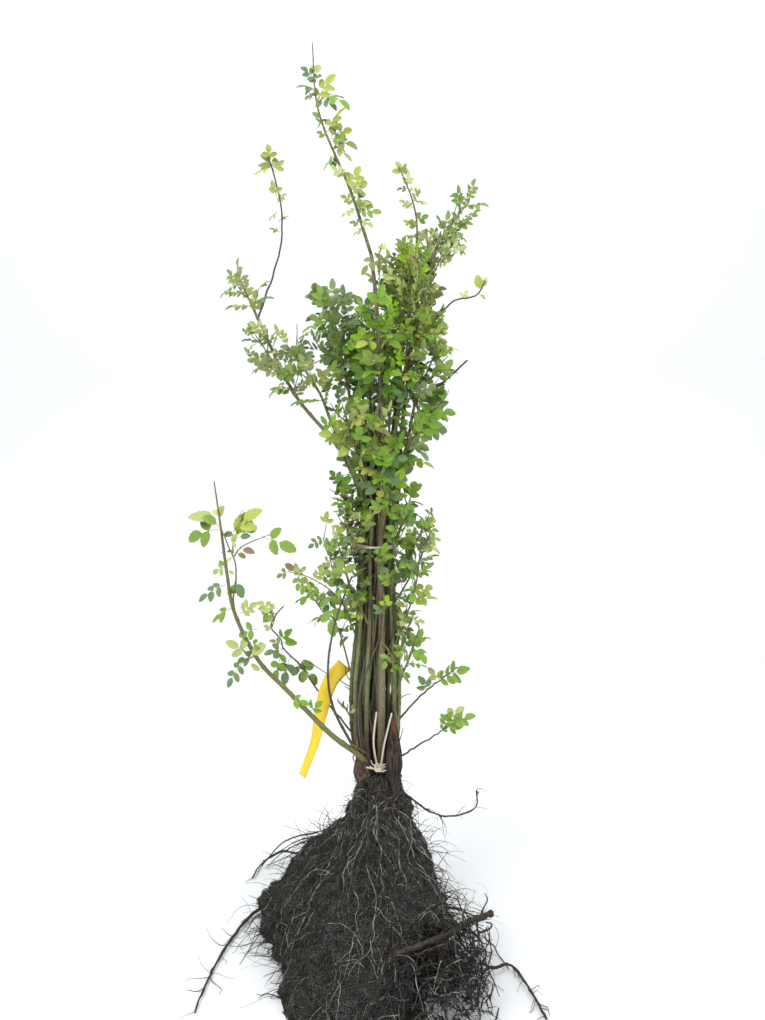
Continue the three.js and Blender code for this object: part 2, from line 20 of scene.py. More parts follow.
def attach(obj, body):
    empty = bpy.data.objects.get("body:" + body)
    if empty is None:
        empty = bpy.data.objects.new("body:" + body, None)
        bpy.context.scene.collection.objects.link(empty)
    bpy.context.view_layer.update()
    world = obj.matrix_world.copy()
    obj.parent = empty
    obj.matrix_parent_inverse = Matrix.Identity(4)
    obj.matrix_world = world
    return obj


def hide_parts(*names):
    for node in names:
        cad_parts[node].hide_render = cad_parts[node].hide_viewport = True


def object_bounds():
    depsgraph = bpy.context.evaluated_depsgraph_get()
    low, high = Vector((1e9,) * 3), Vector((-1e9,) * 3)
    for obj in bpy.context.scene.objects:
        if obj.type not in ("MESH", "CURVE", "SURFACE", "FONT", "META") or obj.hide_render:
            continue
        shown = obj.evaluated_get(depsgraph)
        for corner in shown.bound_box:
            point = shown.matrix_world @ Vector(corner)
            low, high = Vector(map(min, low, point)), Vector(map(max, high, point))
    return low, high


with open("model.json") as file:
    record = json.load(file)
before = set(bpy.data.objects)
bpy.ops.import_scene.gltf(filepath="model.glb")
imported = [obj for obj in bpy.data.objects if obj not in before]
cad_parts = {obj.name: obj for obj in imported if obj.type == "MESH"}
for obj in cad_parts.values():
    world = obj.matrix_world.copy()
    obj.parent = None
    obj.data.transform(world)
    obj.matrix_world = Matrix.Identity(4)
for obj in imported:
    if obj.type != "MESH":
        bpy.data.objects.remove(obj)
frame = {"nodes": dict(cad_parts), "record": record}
cad_box = [list(corner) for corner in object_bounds()]
MM = 0.001  # places are written in millimetres and become metres when a mesh is made
BODY = "root"
GROUND_GAP = 0.2  # nothing that is strewn or hangs comes lower than this
print("solids:", len(frame["nodes"]), "box:", cad_box)

# %% [markdown]
# ## Camera
# A camera can be aimed by hand or by a constraint. Its own axes are worked out here instead, from a turn, a tilt
# and a roll, because three angles and a place say exactly where it stands.

# %% Camera
EYE = Vector((42.8, -881.9, 589.7))
TURN, TILT, ROLL = (math.radians(angle) for angle in (2.466, -7.317, -1.224))
LENS = 28.235  # for a sensor of 36 mm

forward = Vector((-math.sin(TURN) * math.cos(TILT), math.cos(TURN) * math.cos(TILT), math.sin(TILT)))
level = Vector((math.cos(TURN), math.sin(TURN), 0))
upright = level.cross(forward)
right = level * math.cos(ROLL) + upright * math.sin(ROLL)
up = upright * math.cos(ROLL) - level * math.sin(ROLL)

camera = bpy.data.objects.new("camera", bpy.data.cameras.new("camera"))
camera.data.lens = LENS
camera.matrix_world = Matrix.Translation(EYE * MM) @ Matrix((right, up, -forward)).transposed().to_4x4()
bpy.context.scene.collection.objects.link(camera)
bpy.context.scene.camera = camera
print("camera at", tuple(round(c, 3) for c in camera.location))

# %% [markdown]
# ## Shader sums
# A finish is a tree of shader nodes. Nodes can be placed and linked by hand, one call for each, but sums then
# fill the script. A small class wraps an output instead, so that `1 - mask * 0.5` adds the Math nodes it needs.

# %% Shader helpers
class Value:
    """One output of a shader node. Arithmetic on it adds Math nodes."""

    def __init__(self, finish, output):
        self.finish = finish
        self.output = output

    def math(self, operation, *terms):
        return self.finish.node("Math", {"operation": operation}, dict(enumerate(terms)))

    def __add__(self, other):
        return self.math("ADD", self, other)

    def __sub__(self, other):
        return self.math("SUBTRACT", self, other)

    def __mul__(self, other):
        return self.math("MULTIPLY", self, other)

    def __rsub__(self, other):
        return self.math("SUBTRACT", other, self)

    __radd__ = __add__

    def between(self, low, high):
        """0 below `low`, 1 above `high`, and a smooth step from one to the other."""
        settings = {"interpolation_type": "SMOOTHSTEP"}
        return self.finish.node("MapRange", settings, {"Value": self, "From Min": low, "From Max": high})


# %% [markdown]
# ## Finishes
# Every finish here stands on one Principled shader, which can pass for bark, leaf, soil, twine and film. The steps
# that they share, such as a noise, a blend of two colours or a bump, are methods, so that a finish reads as a recipe.

# %% Finishes
class Finish:
    """A material in the making, on one Principled shader."""

    def __init__(self, name, **constants):
        self.material = bpy.data.materials.new(name)
        self.material.use_nodes = True
        self.tree = self.material.node_tree
        self.shader = self.tree.nodes["Principled BSDF"]
        for key, value in constants.items():
            self.plug(self.shader, key.replace("_", " ").title().replace("Ior", "IOR"), value)

    def plug(self, node, key, value):
        """Sets or links one input, named by its place, its identifier or its name."""
        found = [s for i, s in enumerate(node.inputs) if key in (i, s.identifier)]
        socket = found[0] if found else node.inputs[key]
        if isinstance(value, Value):
            self.tree.links.new(value.output, socket)
        else:
            socket.default_value = value

    def node(self, kind, settings=(), inputs=(), output=0):
        """Adds any node: its kind, its settings, then what its inputs hold."""
        node = self.tree.nodes.new("ShaderNode" + kind)
        for key, value in dict(settings).items():
            setattr(node, key, value)
        for key, value in dict(inputs).items():
            self.plug(node, key, value)
        return Value(self, node.outputs[output])

    def place(self, stretch=(1, 1, 1)):
        """The point in the object's own space, which is also the bush's, stretched along its axes."""
        return self.stretched(self.node("TexCoord", output=3), stretch)

    def grain(self, stretch=(1, 1, 1)):
        """The point in a limb's own space: across, across and along it."""
        return self.stretched(self.node("Attribute", {"attribute_name": "grain"}, output=1), stretch)

    def stretched(self, vector, stretch):
        return self.node("VectorMath", {"operation": "MULTIPLY"}, {0: vector, 1: stretch})

    def noise(self, vector, scale, detail=3.0):
        return self.node("TexNoise", {}, {"Vector": vector, "Scale": scale, "Detail": detail})

    def blend(self, mask, first, second):
        """The first colour where the mask is 0 and the second where it is 1."""
        inputs = {"Factor_Float": mask, "A_Color": first, "B_Color": second}
        return self.node("Mix", {"data_type": "RGBA"}, inputs, output=2)

    def bump(self, height, distance, strength=1.0):
        inputs = {"Height": height, "Distance": distance, "Strength": strength}
        self.plug(self.shader, "Normal", self.node("Bump", {}, inputs))

    def colour(self, value):
        self.plug(self.shader, "Base Color", value)


def paint(red, green, blue):
    """A colour as a screen shows it, 0 to 255, in the linear values that Blender works with."""
    shares = [channel / 255 for channel in (red, green, blue)]
    return (*(((s + 0.055) / 1.055) ** 2.4 if s > 0.04 else s / 12.92 for s in shares), 1.0)


print("middle grey as Blender holds it:", round(paint(128, 128, 128)[0], 3))

# %% [markdown]
# ## Routes
# Every cane, twig and root follows a smooth line through a few places. A Bezier curve would need handles at each
# one. A Catmull-Rom curve goes through its points with none, and it is the curve that the solids were bent along,
# so a piece made on it lands exactly where its solid stands.

# %% Route helpers
UP = np.array([0.0, 0.0, 1.0])


def unit(vectors):
    return vectors / np.maximum(np.linalg.norm(vectors, axis=-1, keepdims=True), 1e-9)


def evenly(points, count):
    """The same line as `count` points at even distances."""
    lengths = np.linalg.norm(np.diff(points, axis=0), axis=1)
    travelled = np.concatenate([[0], np.cumsum(lengths)])
    wanted = np.linspace(0, travelled[-1], count)
    return np.stack([np.interp(wanted, travelled, points[:, axis]) for axis in range(3)], axis=1)


def smooth_route(points, count=200):
    """Evenly spaced points on a Catmull-Rom curve through the given ones."""
    points = np.array(points, float)
    points = np.vstack([2 * points[0] - points[1], points, 2 * points[-1] - points[-2]])
    knots = np.concatenate([[0], np.cumsum(np.linalg.norm(np.diff(points, axis=0), axis=1) ** 0.5)])
    fine = []
    for i in range(1, len(points) - 2):
        t = np.linspace(knots[i], knots[i + 1], 40, endpoint=False)[:, None]
        mix = lambda a, b, p, q: ((knots[b] - t) * p + (t - knots[a]) * q) / (knots[b] - knots[a])
        a1, a2, a3 = (mix(i + k - 1, i + k, points[i + k - 1], points[i + k]) for k in range(3))
        b1, b2 = mix(i - 1, i + 1, a1, a2), mix(i, i + 2, a2, a3)
        fine.append(mix(i, i + 1, b1, b2))
    fine.append(points[-2:-1])
    return evenly(np.vstack(fine), count)


def length_of(route):
    return float(np.linalg.norm(np.diff(route, axis=0), axis=1).sum())


def share_at_height(route, height):
    """The first place on a rising route at a height, as a share of its length."""
    above = np.nonzero(route[:, 2] >= height)[0]
    return above[0] / (len(route) - 1) if len(above) else 1.0


def at_share(route, share):
    """The point at a share of a route's length, and the way the route runs there."""
    position = share * (len(route) - 1)
    low = min(int(position), len(route) - 2)
    point = route[low] + (route[low + 1] - route[low]) * (position - low)
    return point, unit(route[low + 1] - route[low])


arch = smooth_route([[0, 0, 0], [50, 0, 50], [100, 0, 0]])
print("an arch 100 mm wide and 50 mm high:", round(length_of(arch)), "mm")

# %% [markdown]
# ## Bars bent along a route
# A limb could be a curve object with a round bevel, but then its bark has no relief. A cylinder is made by an
# operator instead, cut into rings, and each ring is carried to its place on the route and shaped by a function of
# the turn and the length. Each point also keeps where it was on the straight limb, for the bark's grain.

# %% Bar helpers
def frames_along(route):
    """For each point of a route, its direction and two directions square to it that don't spin."""
    forwards = unit(np.gradient(route, axis=0))
    side = unit(np.cross(forwards[0], [0.31, 0.95, 0.1]))
    sides = []
    for way in forwards:
        side = unit(side - way * side.dot(way))
        sides.append(side)
    sides = np.array(sides)
    return forwards, sides, np.cross(forwards, sides)


def mesh_of(bm, name):
    """What the operators made in a bmesh, as a mesh."""
    mesh = bpy.data.meshes.new(name)
    bm.to_mesh(mesh)
    bm.free()
    return mesh


def set_grain(mesh, places):
    """Stores, for each vertex, the place that bark is read at."""
    mesh.attributes.new("grain", "FLOAT_VECTOR", "POINT").data.foreach_set("vector", places)


def bent_bar(name, route, girth_at, sides, relief=None):
    """A mesh: a round bar along a route. `relief` gives a factor on its girth for each turn and length."""
    rings = len(route)
    bm = bmesh.new()
    bmesh.ops.create_cone(bm, cap_ends=True, segments=sides, radius1=1, radius2=1, depth=1)
    uprights = [e for e in bm.edges if abs(e.verts[0].co.z - e.verts[1].co.z) > 0.5]
    bmesh.ops.subdivide_edges(bm, edges=uprights, cuts=rings - 2)
    straight = np.array([v.co for v in bm.verts])
    ring = np.round((straight[:, 2] + 0.5) * (rings - 1)).astype(int)
    turn = np.arctan2(straight[:, 1], straight[:, 0])
    along = ring / (rings - 1)
    girth = girth_at(along)
    if relief:
        girth = girth * relief(turn, along * length_of(route))
    _, across, over = frames_along(route)
    offset = across[ring] * np.cos(turn)[:, None] + over[ring] * np.sin(turn)[:, None]
    for vertex, place in zip(bm.verts, (route[ring] + offset * girth[:, None]) * MM):
        vertex.co = place
    bmesh.ops.recalc_face_normals(bm, faces=bm.faces)
    mesh = mesh_of(bm, name)
    grain = np.stack([np.cos(turn) * girth, np.sin(turn) * girth, along * length_of(route)], axis=1) * MM
    set_grain(mesh, grain.ravel())
    return mesh


def triangles_in(mesh):
    return sum(len(face.vertices) - 2 for face in mesh.polygons)


def add_piece(name, mesh, materials, slot, nodes=(), smooth=True):
    """Puts a mesh in the scene as a piece of the bush, in place of the solids it stands for."""
    for material in materials:
        mesh.materials.append(material)
    mesh.polygons.foreach_set("use_smooth", [smooth] * len(mesh.polygons))
    piece = bpy.data.objects.new(name, mesh)
    bpy.context.scene.collection.objects.link(piece)
    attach(piece, BODY)
    if nodes:
        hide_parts(*nodes)
    print(name, "in", slot, "with", triangles_in(mesh), "triangles")


# %% [markdown]
# ## Bark
# Young rose bark is green and smooth, with fine streaks along it, and it turns brown and corky near the ground.
# One image of bark would repeat from cane to cane. Noise read in the limb's own space, drawn out along it, gives
# streaks that follow every bend, and the height in the bush decides where brown takes over.

# %% Bark finishes
def bark_finish(name, young, streak, old, old_below, old_to):
    """Bark of two mixed greens that turns to an old brown between two heights in metres."""
    bark = Finish(name, roughness=0.62, specular_ior_level=0.35)
    streaks = bark.noise(bark.grain((1, 1, 0.12)), 1500, 4.0)
    patches = bark.noise(bark.place((1, 1, 0.5)), 28, 2.0)
    height = bark.node("SeparateXYZ", {}, {0: bark.place()}, output=2)
    age = 1 - (height + (patches - 0.5) * 0.09).between(old_below, old_to)
    flecks = bark.noise(bark.grain((1, 1, 0.6)), 900, 2.0).between(0.6, 0.68)
    skin = bark.blend(streaks.between(0.35, 0.7), paint(*young), paint(*streak))
    skin = bark.blend(patches.between(0.48, 0.66) * 0.7, skin, paint(*old))
    skin = bark.blend(flecks * 0.5, skin, paint(150, 142, 116))
    bark.colour(bark.blend(age, skin, bark.blend(streaks.between(0.4, 0.62), paint(*old), paint(52, 42, 34))))
    bark.plug(bark.shader, "Roughness", 0.55 + age * 0.3)
    bark.bump(streaks + flecks * 0.4, 0.0007, 0.8)
    return bark.material


BARKS = {  # young bark, its streaks, old bark, and the heights below which it is all old and above which all young
    "olive_bark": ((130, 142, 92), (88, 98, 60), (88, 72, 56), 0.185, 0.24),
    "brown_green_bark": ((126, 132, 86), (86, 90, 58), (88, 70, 56), 0.2, 0.3),
    "tan_bark": ((128, 120, 90), (98, 90, 66), (90, 70, 56), 0.185, 0.25),
    "dark_bark": ((92, 84, 72), (64, 56, 48), (72, 58, 48), 0.1, 0.2),
    "bough_bark": ((118, 122, 68), (92, 94, 56), (104, 90, 62), 0.17, 0.2),
}
olive_bark, brown_green_bark, tan_bark, dark_bark, bough_bark = (
    bark_finish(name, *tones) for name, tones in BARKS.items())
print("barks:", ", ".join(BARKS))

# %% [markdown]
# ## Canes
# The sheaf has one cane in each place of two rings and one in the middle. They leave the root ball close together,
# open a little, pass through the upper tie and part above it. The places are worked out from the sheaf's middle
# and radius at a few heights, so that the canes run side by side.

# %% Where the canes stand
CANE_FOOT = 161.1
UPPER_TIE = 438
# The sheaf at some heights: height, its middle's x, the radius of its outer ring
SHEAF = [
    (CANE_FOOT, -7, 15.5), (212, -9, 25), (275, -7.5, 27), (350, -4.5, 21.5), (UPPER_TIE, -3, 18), (486, 1, 19.5),
]
# Each cane: its ring as a share of the outer one, its place round it in degrees, its radius at its foot and at its
# tip, and its route above the sheaf
CANES = [
    ("cane_tall", 1, 288, 4.3, 2.0, [[6, -14, 610], [3, -9, 704], [-1, -8, 750]]),
    ("cane_low_right", 1, 324, 2.8, 1.9, [[22, -20, 512]]),
    ("cane_right", 1, 0, 2.8, 1.9, [[36, -3, 560]]),
    ("cane_right_back", 1, 36, 3.0, 1.9, [[38, 26, 640]]),
    ("cane_thin", 1, 72, 2.8, 1.3, [[31, 38, 660], [45, 40, 745]]),
    ("cane_back", 1, 108, 2.8, 1.9, [[2, 36, 562]]),
    ("cane_left_back", 1, 144, 2.8, 1.9, [[-30, 28, 596]]),
    ("cane_left_high", 1, 180, 3.2, 1.6, [[-40, 4, 541], [-91, 14, 606], [-133, 24, 696]]),
    ("cane_left_second", 1, 216, 2.8, 1.8, [[-50, -22, 583]]),
    ("cane_low_left", 1, 252, 2.7, 1.9, [[-12, -24, 512]]),
    ("cane_right_top", 0.5, 20, 3.2, 1.8, [[26, 4, 600], [62, 6, 735]]),
    ("cane_centre_back", 0.5, 110, 3.0, 1.9, [[8, 16, 630]]),
    ("cane_left_front", 0.5, 200, 3.2, 1.9, [[-27, -10, 598]]),
    ("cane_centre_right", 0.5, 308, 3.0, 1.9, [[24, -9, 580]]),
    ("cane_centre", 0, 0, 3.0, 1.9, [[-4, 0, 560]]),
]
LOW_BOUGH = [
    [-14, -15, 184], [-19, -21, 193], [-25, -26, 200.7], [-32, -28, 207.8], [-41.7, -29, 215.4], [-58, -30, 229.5],
    [-104, -34, 281.5], [-130, -38, 312], [-147, -42.6, 347],
    [-158, -45, 381], [-161.5, -46, 412], [-165, -46, 452],
]
limbs = {}  # name -> route, girth at its foot and at its tip


def sheaf_places(ring, degrees):
    """Where a cane with this place in the rings passes through each height of the sheaf."""
    turn = math.radians(degrees)
    return [[x + ring * outer * math.cos(turn), ring * outer * math.sin(turn), z] for z, x, outer in SHEAF]


print("canes:", len(CANES), "through", len(SHEAF), "heights")

# %% [markdown]
# ## The canes themselves
# A rose cane swells at every bud, about 30 mm apart, and thickens where it grows out of the old wood. A displacement
# could add that, but a factor on the girth does it while the bar is made, with no finer mesh.

# %% Canes
RIDGES = ((0.05, 3, 0.012), (0.035, 5, -0.02))  # height, how many stand round a cane, their turn for each millimetre
BUDS = {"spacing": 31, "height": 0.2, "width": 0.06, "turn": 2.4}  # each bud stands a turn on from the last
FLARE = {"height": 0.75, "reach": 9}
RING_SPACING = 2.6
SUNK = 12  # how far the canes' feet go down into the old wood


def cane_relief(seed):
    """Ridges along a cane, and a swelling with a ledge at each bud."""
    *phases, start, side = np.random.default_rng(seed).uniform(0, 2 * math.pi, 4)

    def relief(turn, length):
        ridges = sum(
            height * np.sin(many * turn + phase + length * twist)
            for phase, (height, many, twist) in zip(phases, RIDGES))
        beyond_bud = (length / BUDS["spacing"] + start) % 1
        swelling = BUDS["height"] * np.exp(-((beyond_bud - 0.5) / BUDS["width"]) ** 2)
        ledge = 1 + 0.5 * np.cos(turn - side - BUDS["turn"] * np.floor(length / BUDS["spacing"]))
        return 1 + ridges + swelling * ledge

    return relief


def foot_flare(along, length):
    """A factor that thickens the lowest 20 mm of a cane, where it grows out of the old wood."""
    return 1 + FLARE["height"] * np.exp(-along * length / FLARE["reach"])


def add_limb(name, points, foot, tip, bark, seed, slot="cane", sides=12, sunk=0.0, nodes=None):
    """One tapering limb with buds, in place of its solid. `sunk` carries its foot down into the wood."""
    route = smooth_route(points)
    limbs[name] = (route, foot, tip)
    if sunk:
        route = np.vstack([route[0] - [0, 0, sunk], route])
    length = length_of(route)
    route = evenly(route, max(12, int(length / RING_SPACING)))
    girth_at = lambda t: (foot + (tip - foot) * t) * (foot_flare(t, length) if sunk else 1)
    mesh = bent_bar(name, route, girth_at, sides, cane_relief(seed))
    add_piece(name, mesh, [bark], slot, nodes or [name])


for index, (name, ring, degrees, foot, tip, above) in enumerate(CANES):
    bark = tan_bark if name == "cane_tall" else (olive_bark, brown_green_bark)[index % 2]
    slot = "tan_cane" if name == "cane_tall" else "cane"
    add_limb(name, sheaf_places(ring, degrees) + above, foot, tip, bark, index, slot, sunk=SUNK)
add_limb("low_left_bough", LOW_BOUGH, 3.3, 1.5, bough_bark, 40, nodes=["low_left_bough", "low_left_bough_top"])
print("limbs:", len(limbs))

# %% [markdown]
# ## Bare shoots
# Two thin dark shoots stand clear of the leaves. Each could start beside its limb, but then light would show
# between them, so its route begins on the limb's middle line.

# %% Bare shoots
# Each shoot: its limb, the height where it leaves it, its radius at its foot and at its tip, and its route
BARE_SHOOTS = [
    ("left_arching_twig", "low_left_bough", 205, 1.7, 0.9,
     [[-54, -33, 263.6], [-57.5, -33, 308], [-48, -33, 358], [-29, -31, 408]]),
    ("right_bare_twig", "cane_right_top", 592, 1.3, 1.0, [[66, -4, 610], [100, -6, 638]]),
]

for index, (name, limb, height, foot, tip, points) in enumerate(BARE_SHOOTS):
    limb_route = limbs[limb][0]
    start, _ = at_share(limb_route, share_at_height(limb_route, height))
    add_limb(name, [start, *points], foot, tip, dark_bark, 60 + index, "old_bark", sides=8)
print("bare shoots:", len(BARE_SHOOTS))

# %% [markdown]
# ## Meshes from arrays
# Twigs, leaf stalks, leaflets and fine roots come in thousands. Operators would take minutes for so many, so these
# are worked out together as arrays, all tubes at once, and handed to Blender as one joined mesh of each kind.

# %% Array helpers
def mesh_from_arrays(name, vertices, faces):
    """A mesh from vertices in millimetres and a list of face arrays, each with faces of one size."""
    mesh = bpy.data.meshes.new(name)
    mesh.vertices.add(len(vertices))
    mesh.vertices.foreach_set("co", (vertices * MM).astype(np.float32).ravel())
    corners = np.concatenate([group.ravel() for group in faces]).astype(np.int32)
    sizes = np.concatenate([np.full(len(group), group.shape[1]) for group in faces])
    mesh.loops.add(len(corners))
    mesh.loops.foreach_set("vertex_index", corners)
    mesh.polygons.add(len(sizes))
    mesh.polygons.foreach_set("loop_start", np.concatenate([[0], np.cumsum(sizes)[:-1]]).astype(np.int32))
    mesh.update(calc_edges=True)
    mesh.validate()
    return mesh


# %% [markdown]
# ## Tubes
# A tube is a row of rings. For a thousand of them, all rings are worked out in one step, which needs every path to
# have the same number of points, so shorter paths are divided more finely first.

# %% Tubes
def tube_arrays(paths, girths, sides):
    """Vertices and faces of closed tubes along paths that all have the same number of points."""
    count, points, _ = paths.shape
    forwards = unit(np.gradient(paths, axis=1))
    helper = np.where(np.abs(forwards[..., 2:]).mean(axis=1, keepdims=True) > 0.8, [1.0, 0.1, 0.0], [0.0, 0.1, 1.0])
    across = unit(np.cross(forwards, helper))
    over = np.cross(forwards, across)
    angles = np.linspace(0, 2 * math.pi, sides, endpoint=False)[:, None]
    around = across[:, :, None] * np.cos(angles) + over[:, :, None] * np.sin(angles)
    vertices = (paths[:, :, None] + around * girths[..., None, None]).reshape(-1, 3)
    ring = np.arange(sides)
    following = (ring + 1) % sides
    step = np.stack([ring, following, following + sides, ring + sides], axis=1)
    walls = (np.arange(points - 1)[:, None, None] * sides + step).reshape(-1, 4)
    caps = np.stack([ring[::-1], ring + (points - 1) * sides])
    starts = np.arange(count)[:, None, None] * points * sides
    return vertices, [(starts + walls).reshape(-1, 4), (starts + caps).reshape(-1, sides)]


def add_tubes(name, paths, feet, tips, sides, material, slot, nodes=(), grained=False):
    """One joined piece of tapering tubes. The radii at their feet and tips are one for all or one for each."""
    points = max(len(path) for path in paths)
    paths = np.array([path if len(path) == points else evenly(np.array(path), points) for path in paths])
    taper = np.linspace(0, 1, points)
    girths = np.reshape(feet, (-1, 1)) * (1 - taper) + np.reshape(tips, (-1, 1)) * taper
    vertices, faces = tube_arrays(paths, girths, sides)
    vertices[:, 2] = np.maximum(vertices[:, 2], GROUND_GAP)
    mesh = mesh_from_arrays(name, vertices, faces)
    if grained:  # bark is read along the bush's own axes
        places = np.empty(len(mesh.vertices) * 3, np.float32)
        mesh.vertices.foreach_get("co", places)
        set_grain(mesh, places)
    print(len(paths), "tubes:", end=" ")
    add_piece(name, mesh, [material], slot, nodes)


# %% [markdown]
# ## Slender canes
# Between the canes that have solids of their own stand thinner ones, which only fill the sheaf. Copies of one cane
# would look alike, so each has a route of its own through the same rings, drifts a little from its place and ends
# inside the crown.

# %% Slender canes
SLENDER = {
    "count": 66, "girth": (0.7, 2.0), "top": (490, 610), "sunk": 9, "fan": 1.25,  # `fan` spreads them at their tops
    "drift": 26, "wander": 0.34, "widest": 1.24, "tied": 0.98,  # shares of the outer ring that none leaves
}
rng = np.random.default_rng(5)
slender_routes = []
for index in range(SLENDER["count"]):
    ring = rng.uniform(0.35, 1.0)
    degrees = index * 137.5 + rng.uniform(-20, 20)
    points = []
    for z, x, outer in SHEAF:
        turn = math.radians(degrees + rng.uniform(-SLENDER["drift"], SLENDER["drift"]))
        if z in (CANE_FOOT, UPPER_TIE):
            share = min(ring, SLENDER["tied"])
        else:
            share = min(ring + rng.uniform(-1, 1) * SLENDER["wander"], SLENDER["widest"])
        depth = SLENDER["sunk"] if z == CANE_FOOT else 0
        points.append([x + share * outer * math.cos(turn), share * outer * math.sin(turn), z - depth])
    end_x, end_y, _ = points[-1]
    points.append([end_x * SLENDER["fan"], end_y * SLENDER["fan"], rng.uniform(*SLENDER["top"])])
    slender_routes.append(smooth_route(points, 70))
SHADES = [("green", olive_bark), ("brown", brown_green_bark), ("dark", dark_bark)]
for start, (shade, material) in enumerate(SHADES):
    chosen = slender_routes[start::len(SHADES)]
    feet = rng.uniform(*SLENDER["girth"], len(chosen)) * 1.1
    add_tubes("slender_canes_" + shade, chosen, feet, feet * 0.7, 7, material, "cane", grained=True)

# %% [markdown]
# ## A leaflet
# A rose leaflet is an oval blade with a toothed edge, folded a little along its vein and arched to its tip. It
# could be one flat face with a picture of a leaf, but its edge would then be a fake. This one is a thin closed
# shell of forty small faces, made once for each of a few bends, and then repeated.

# %% Leaflet shape
LEAFLET = {"stations": 11, "half_width": 0.72, "foot": 0.6, "tip": 0.74, "tooth": 0.075, "thick": 0.018}


def leaflet_shape(fold, arch, twist):
    """A leaflet of length 1 along +X with its face up: vertices, upper faces, under faces, sharp edges."""
    count = LEAFLET["stations"]
    t = np.linspace(0, 1, count)
    half = LEAFLET["half_width"] * t ** LEAFLET["foot"] * (1 - t) ** LEAFLET["tip"]
    tooth = np.where(np.arange(count) % 2 == 1, 1, -0.6) * LEAFLET["tooth"]
    x = t + np.where(np.arange(count) % 2 == 1, 0.03, -0.01) * (half > 0)

    def lifted(along, across, thickness):
        height = fold * np.abs(across) - arch * along ** 2 + twist * across * along - thickness
        return np.stack([along - 0.3 * arch * along ** 2, across, height], axis=1)

    inner = slice(1, count - 1)
    vein = lifted(t, np.zeros(count), 0)
    under = lifted(t[inner], np.zeros(count - 2), LEAFLET["thick"])
    left = lifted(x[inner], (half * (1 + tooth))[inner], 0)
    rim_right = lifted(x[inner], -(half * (1 + tooth))[inner], 0)
    vertices = np.vstack([vein, under, left, rim_right])
    top = list(range(count))
    low = [0, *range(count, 2 * count - 2), count - 1]
    rims = [[0, *range(start, start + count - 2), count - 1] for start in (2 * count - 2, 3 * count - 4)]
    upper, beneath = [], []
    for side, rim in enumerate(rims):
        for i in range(count - 1):
            for faces, vein_line, flip in ((upper, top, side == 1), (beneath, low, side == 0)):
                face = [vein_line[i], vein_line[i + 1], rim[i + 1], rim[i]]
                face = [v for k, v in enumerate(face) if v not in face[:k]]
                faces.append(face[::-1] if flip else face)
    sharp = {frozenset(pair) for line in (*rims, top) for pair in zip(line, line[1:])}
    return vertices, upper, beneath, sharp


BENDS = [(0.3, 0.14, 0.1), (0.16, 0.26, -0.12), (0.5, 0.2, 0.05), (0.1, 0.1, 0.15), (0.85, 0.12, 0.0)]
LEAFLET_SHAPES = [leaflet_shape(*bend) for bend in BENDS]
print("faces of a leaflet:", len(LEAFLET_SHAPES[0][1]) + len(LEAFLET_SHAPES[0][2]))

# %% [markdown]
# ## Leaf tints
# Young leaves are pale and yellowish, older ones deep green, and each is paler below. The darkest tint, shade, is a
# painted shade: the dark green of leaves in the crown's shadow, given to them as their colour. One finish with a
# random tint could colour them all, but each tint has a mesh of its own here, so that it keeps a slot of its own.

# %% Leaf tints
# The tint named shade is painted shade: the dark green that leaves in the crown's shadow show, as their colour.
TINTS = {
    "pale": (182, 194, 124), "sage": (162, 172, 102), "fresh": (156, 170, 72), "lime": (142, 180, 30),
    "leaf": (110, 149, 37), "mid": (118, 148, 58), "deep": (80, 118, 29), "blue": (100, 125, 77),
    "shade": (58, 84, 20), "olive": (128, 138, 74), "bronze": (128, 110, 74), "withered": (52, 42, 36),
}
UNDERSIDE, UNDERSIDE_SHARE = np.array([158, 166, 122]), 0.45


def leaf_finish(name, colour, roughness):
    """A leaf's skin: one plain colour, with the quilting between its veins as a fine bump."""
    skin = Finish(name, base_color=paint(*colour), roughness=roughness, specular_ior_level=0.4)
    skin.bump(skin.noise(skin.place(), 460, 2.0), 0.001, 0.7)
    return skin.material


def back_of(colour):
    return np.array(colour) * (1 - UNDERSIDE_SHARE) + UNDERSIDE * UNDERSIDE_SHARE


leaf_skins = {
    name: [leaf_finish("leaf_" + name, colour, 0.5), leaf_finish("leaf_back_" + name, back_of(colour), 0.7)]
    for name, colour in TINTS.items()
}
print("leaf tints:", len(leaf_skins))

# %% [markdown]
# ## Masses of leaves
# Each mass of the solid model is one stem with a few large blades, in a row of balls that is its space. Here the
# same stem also carries side twigs, and stem and twigs carry whole leaves at real size. A leaf whose tip would leave
# the space is tried smaller and then skipped, so the crown keeps its outline.

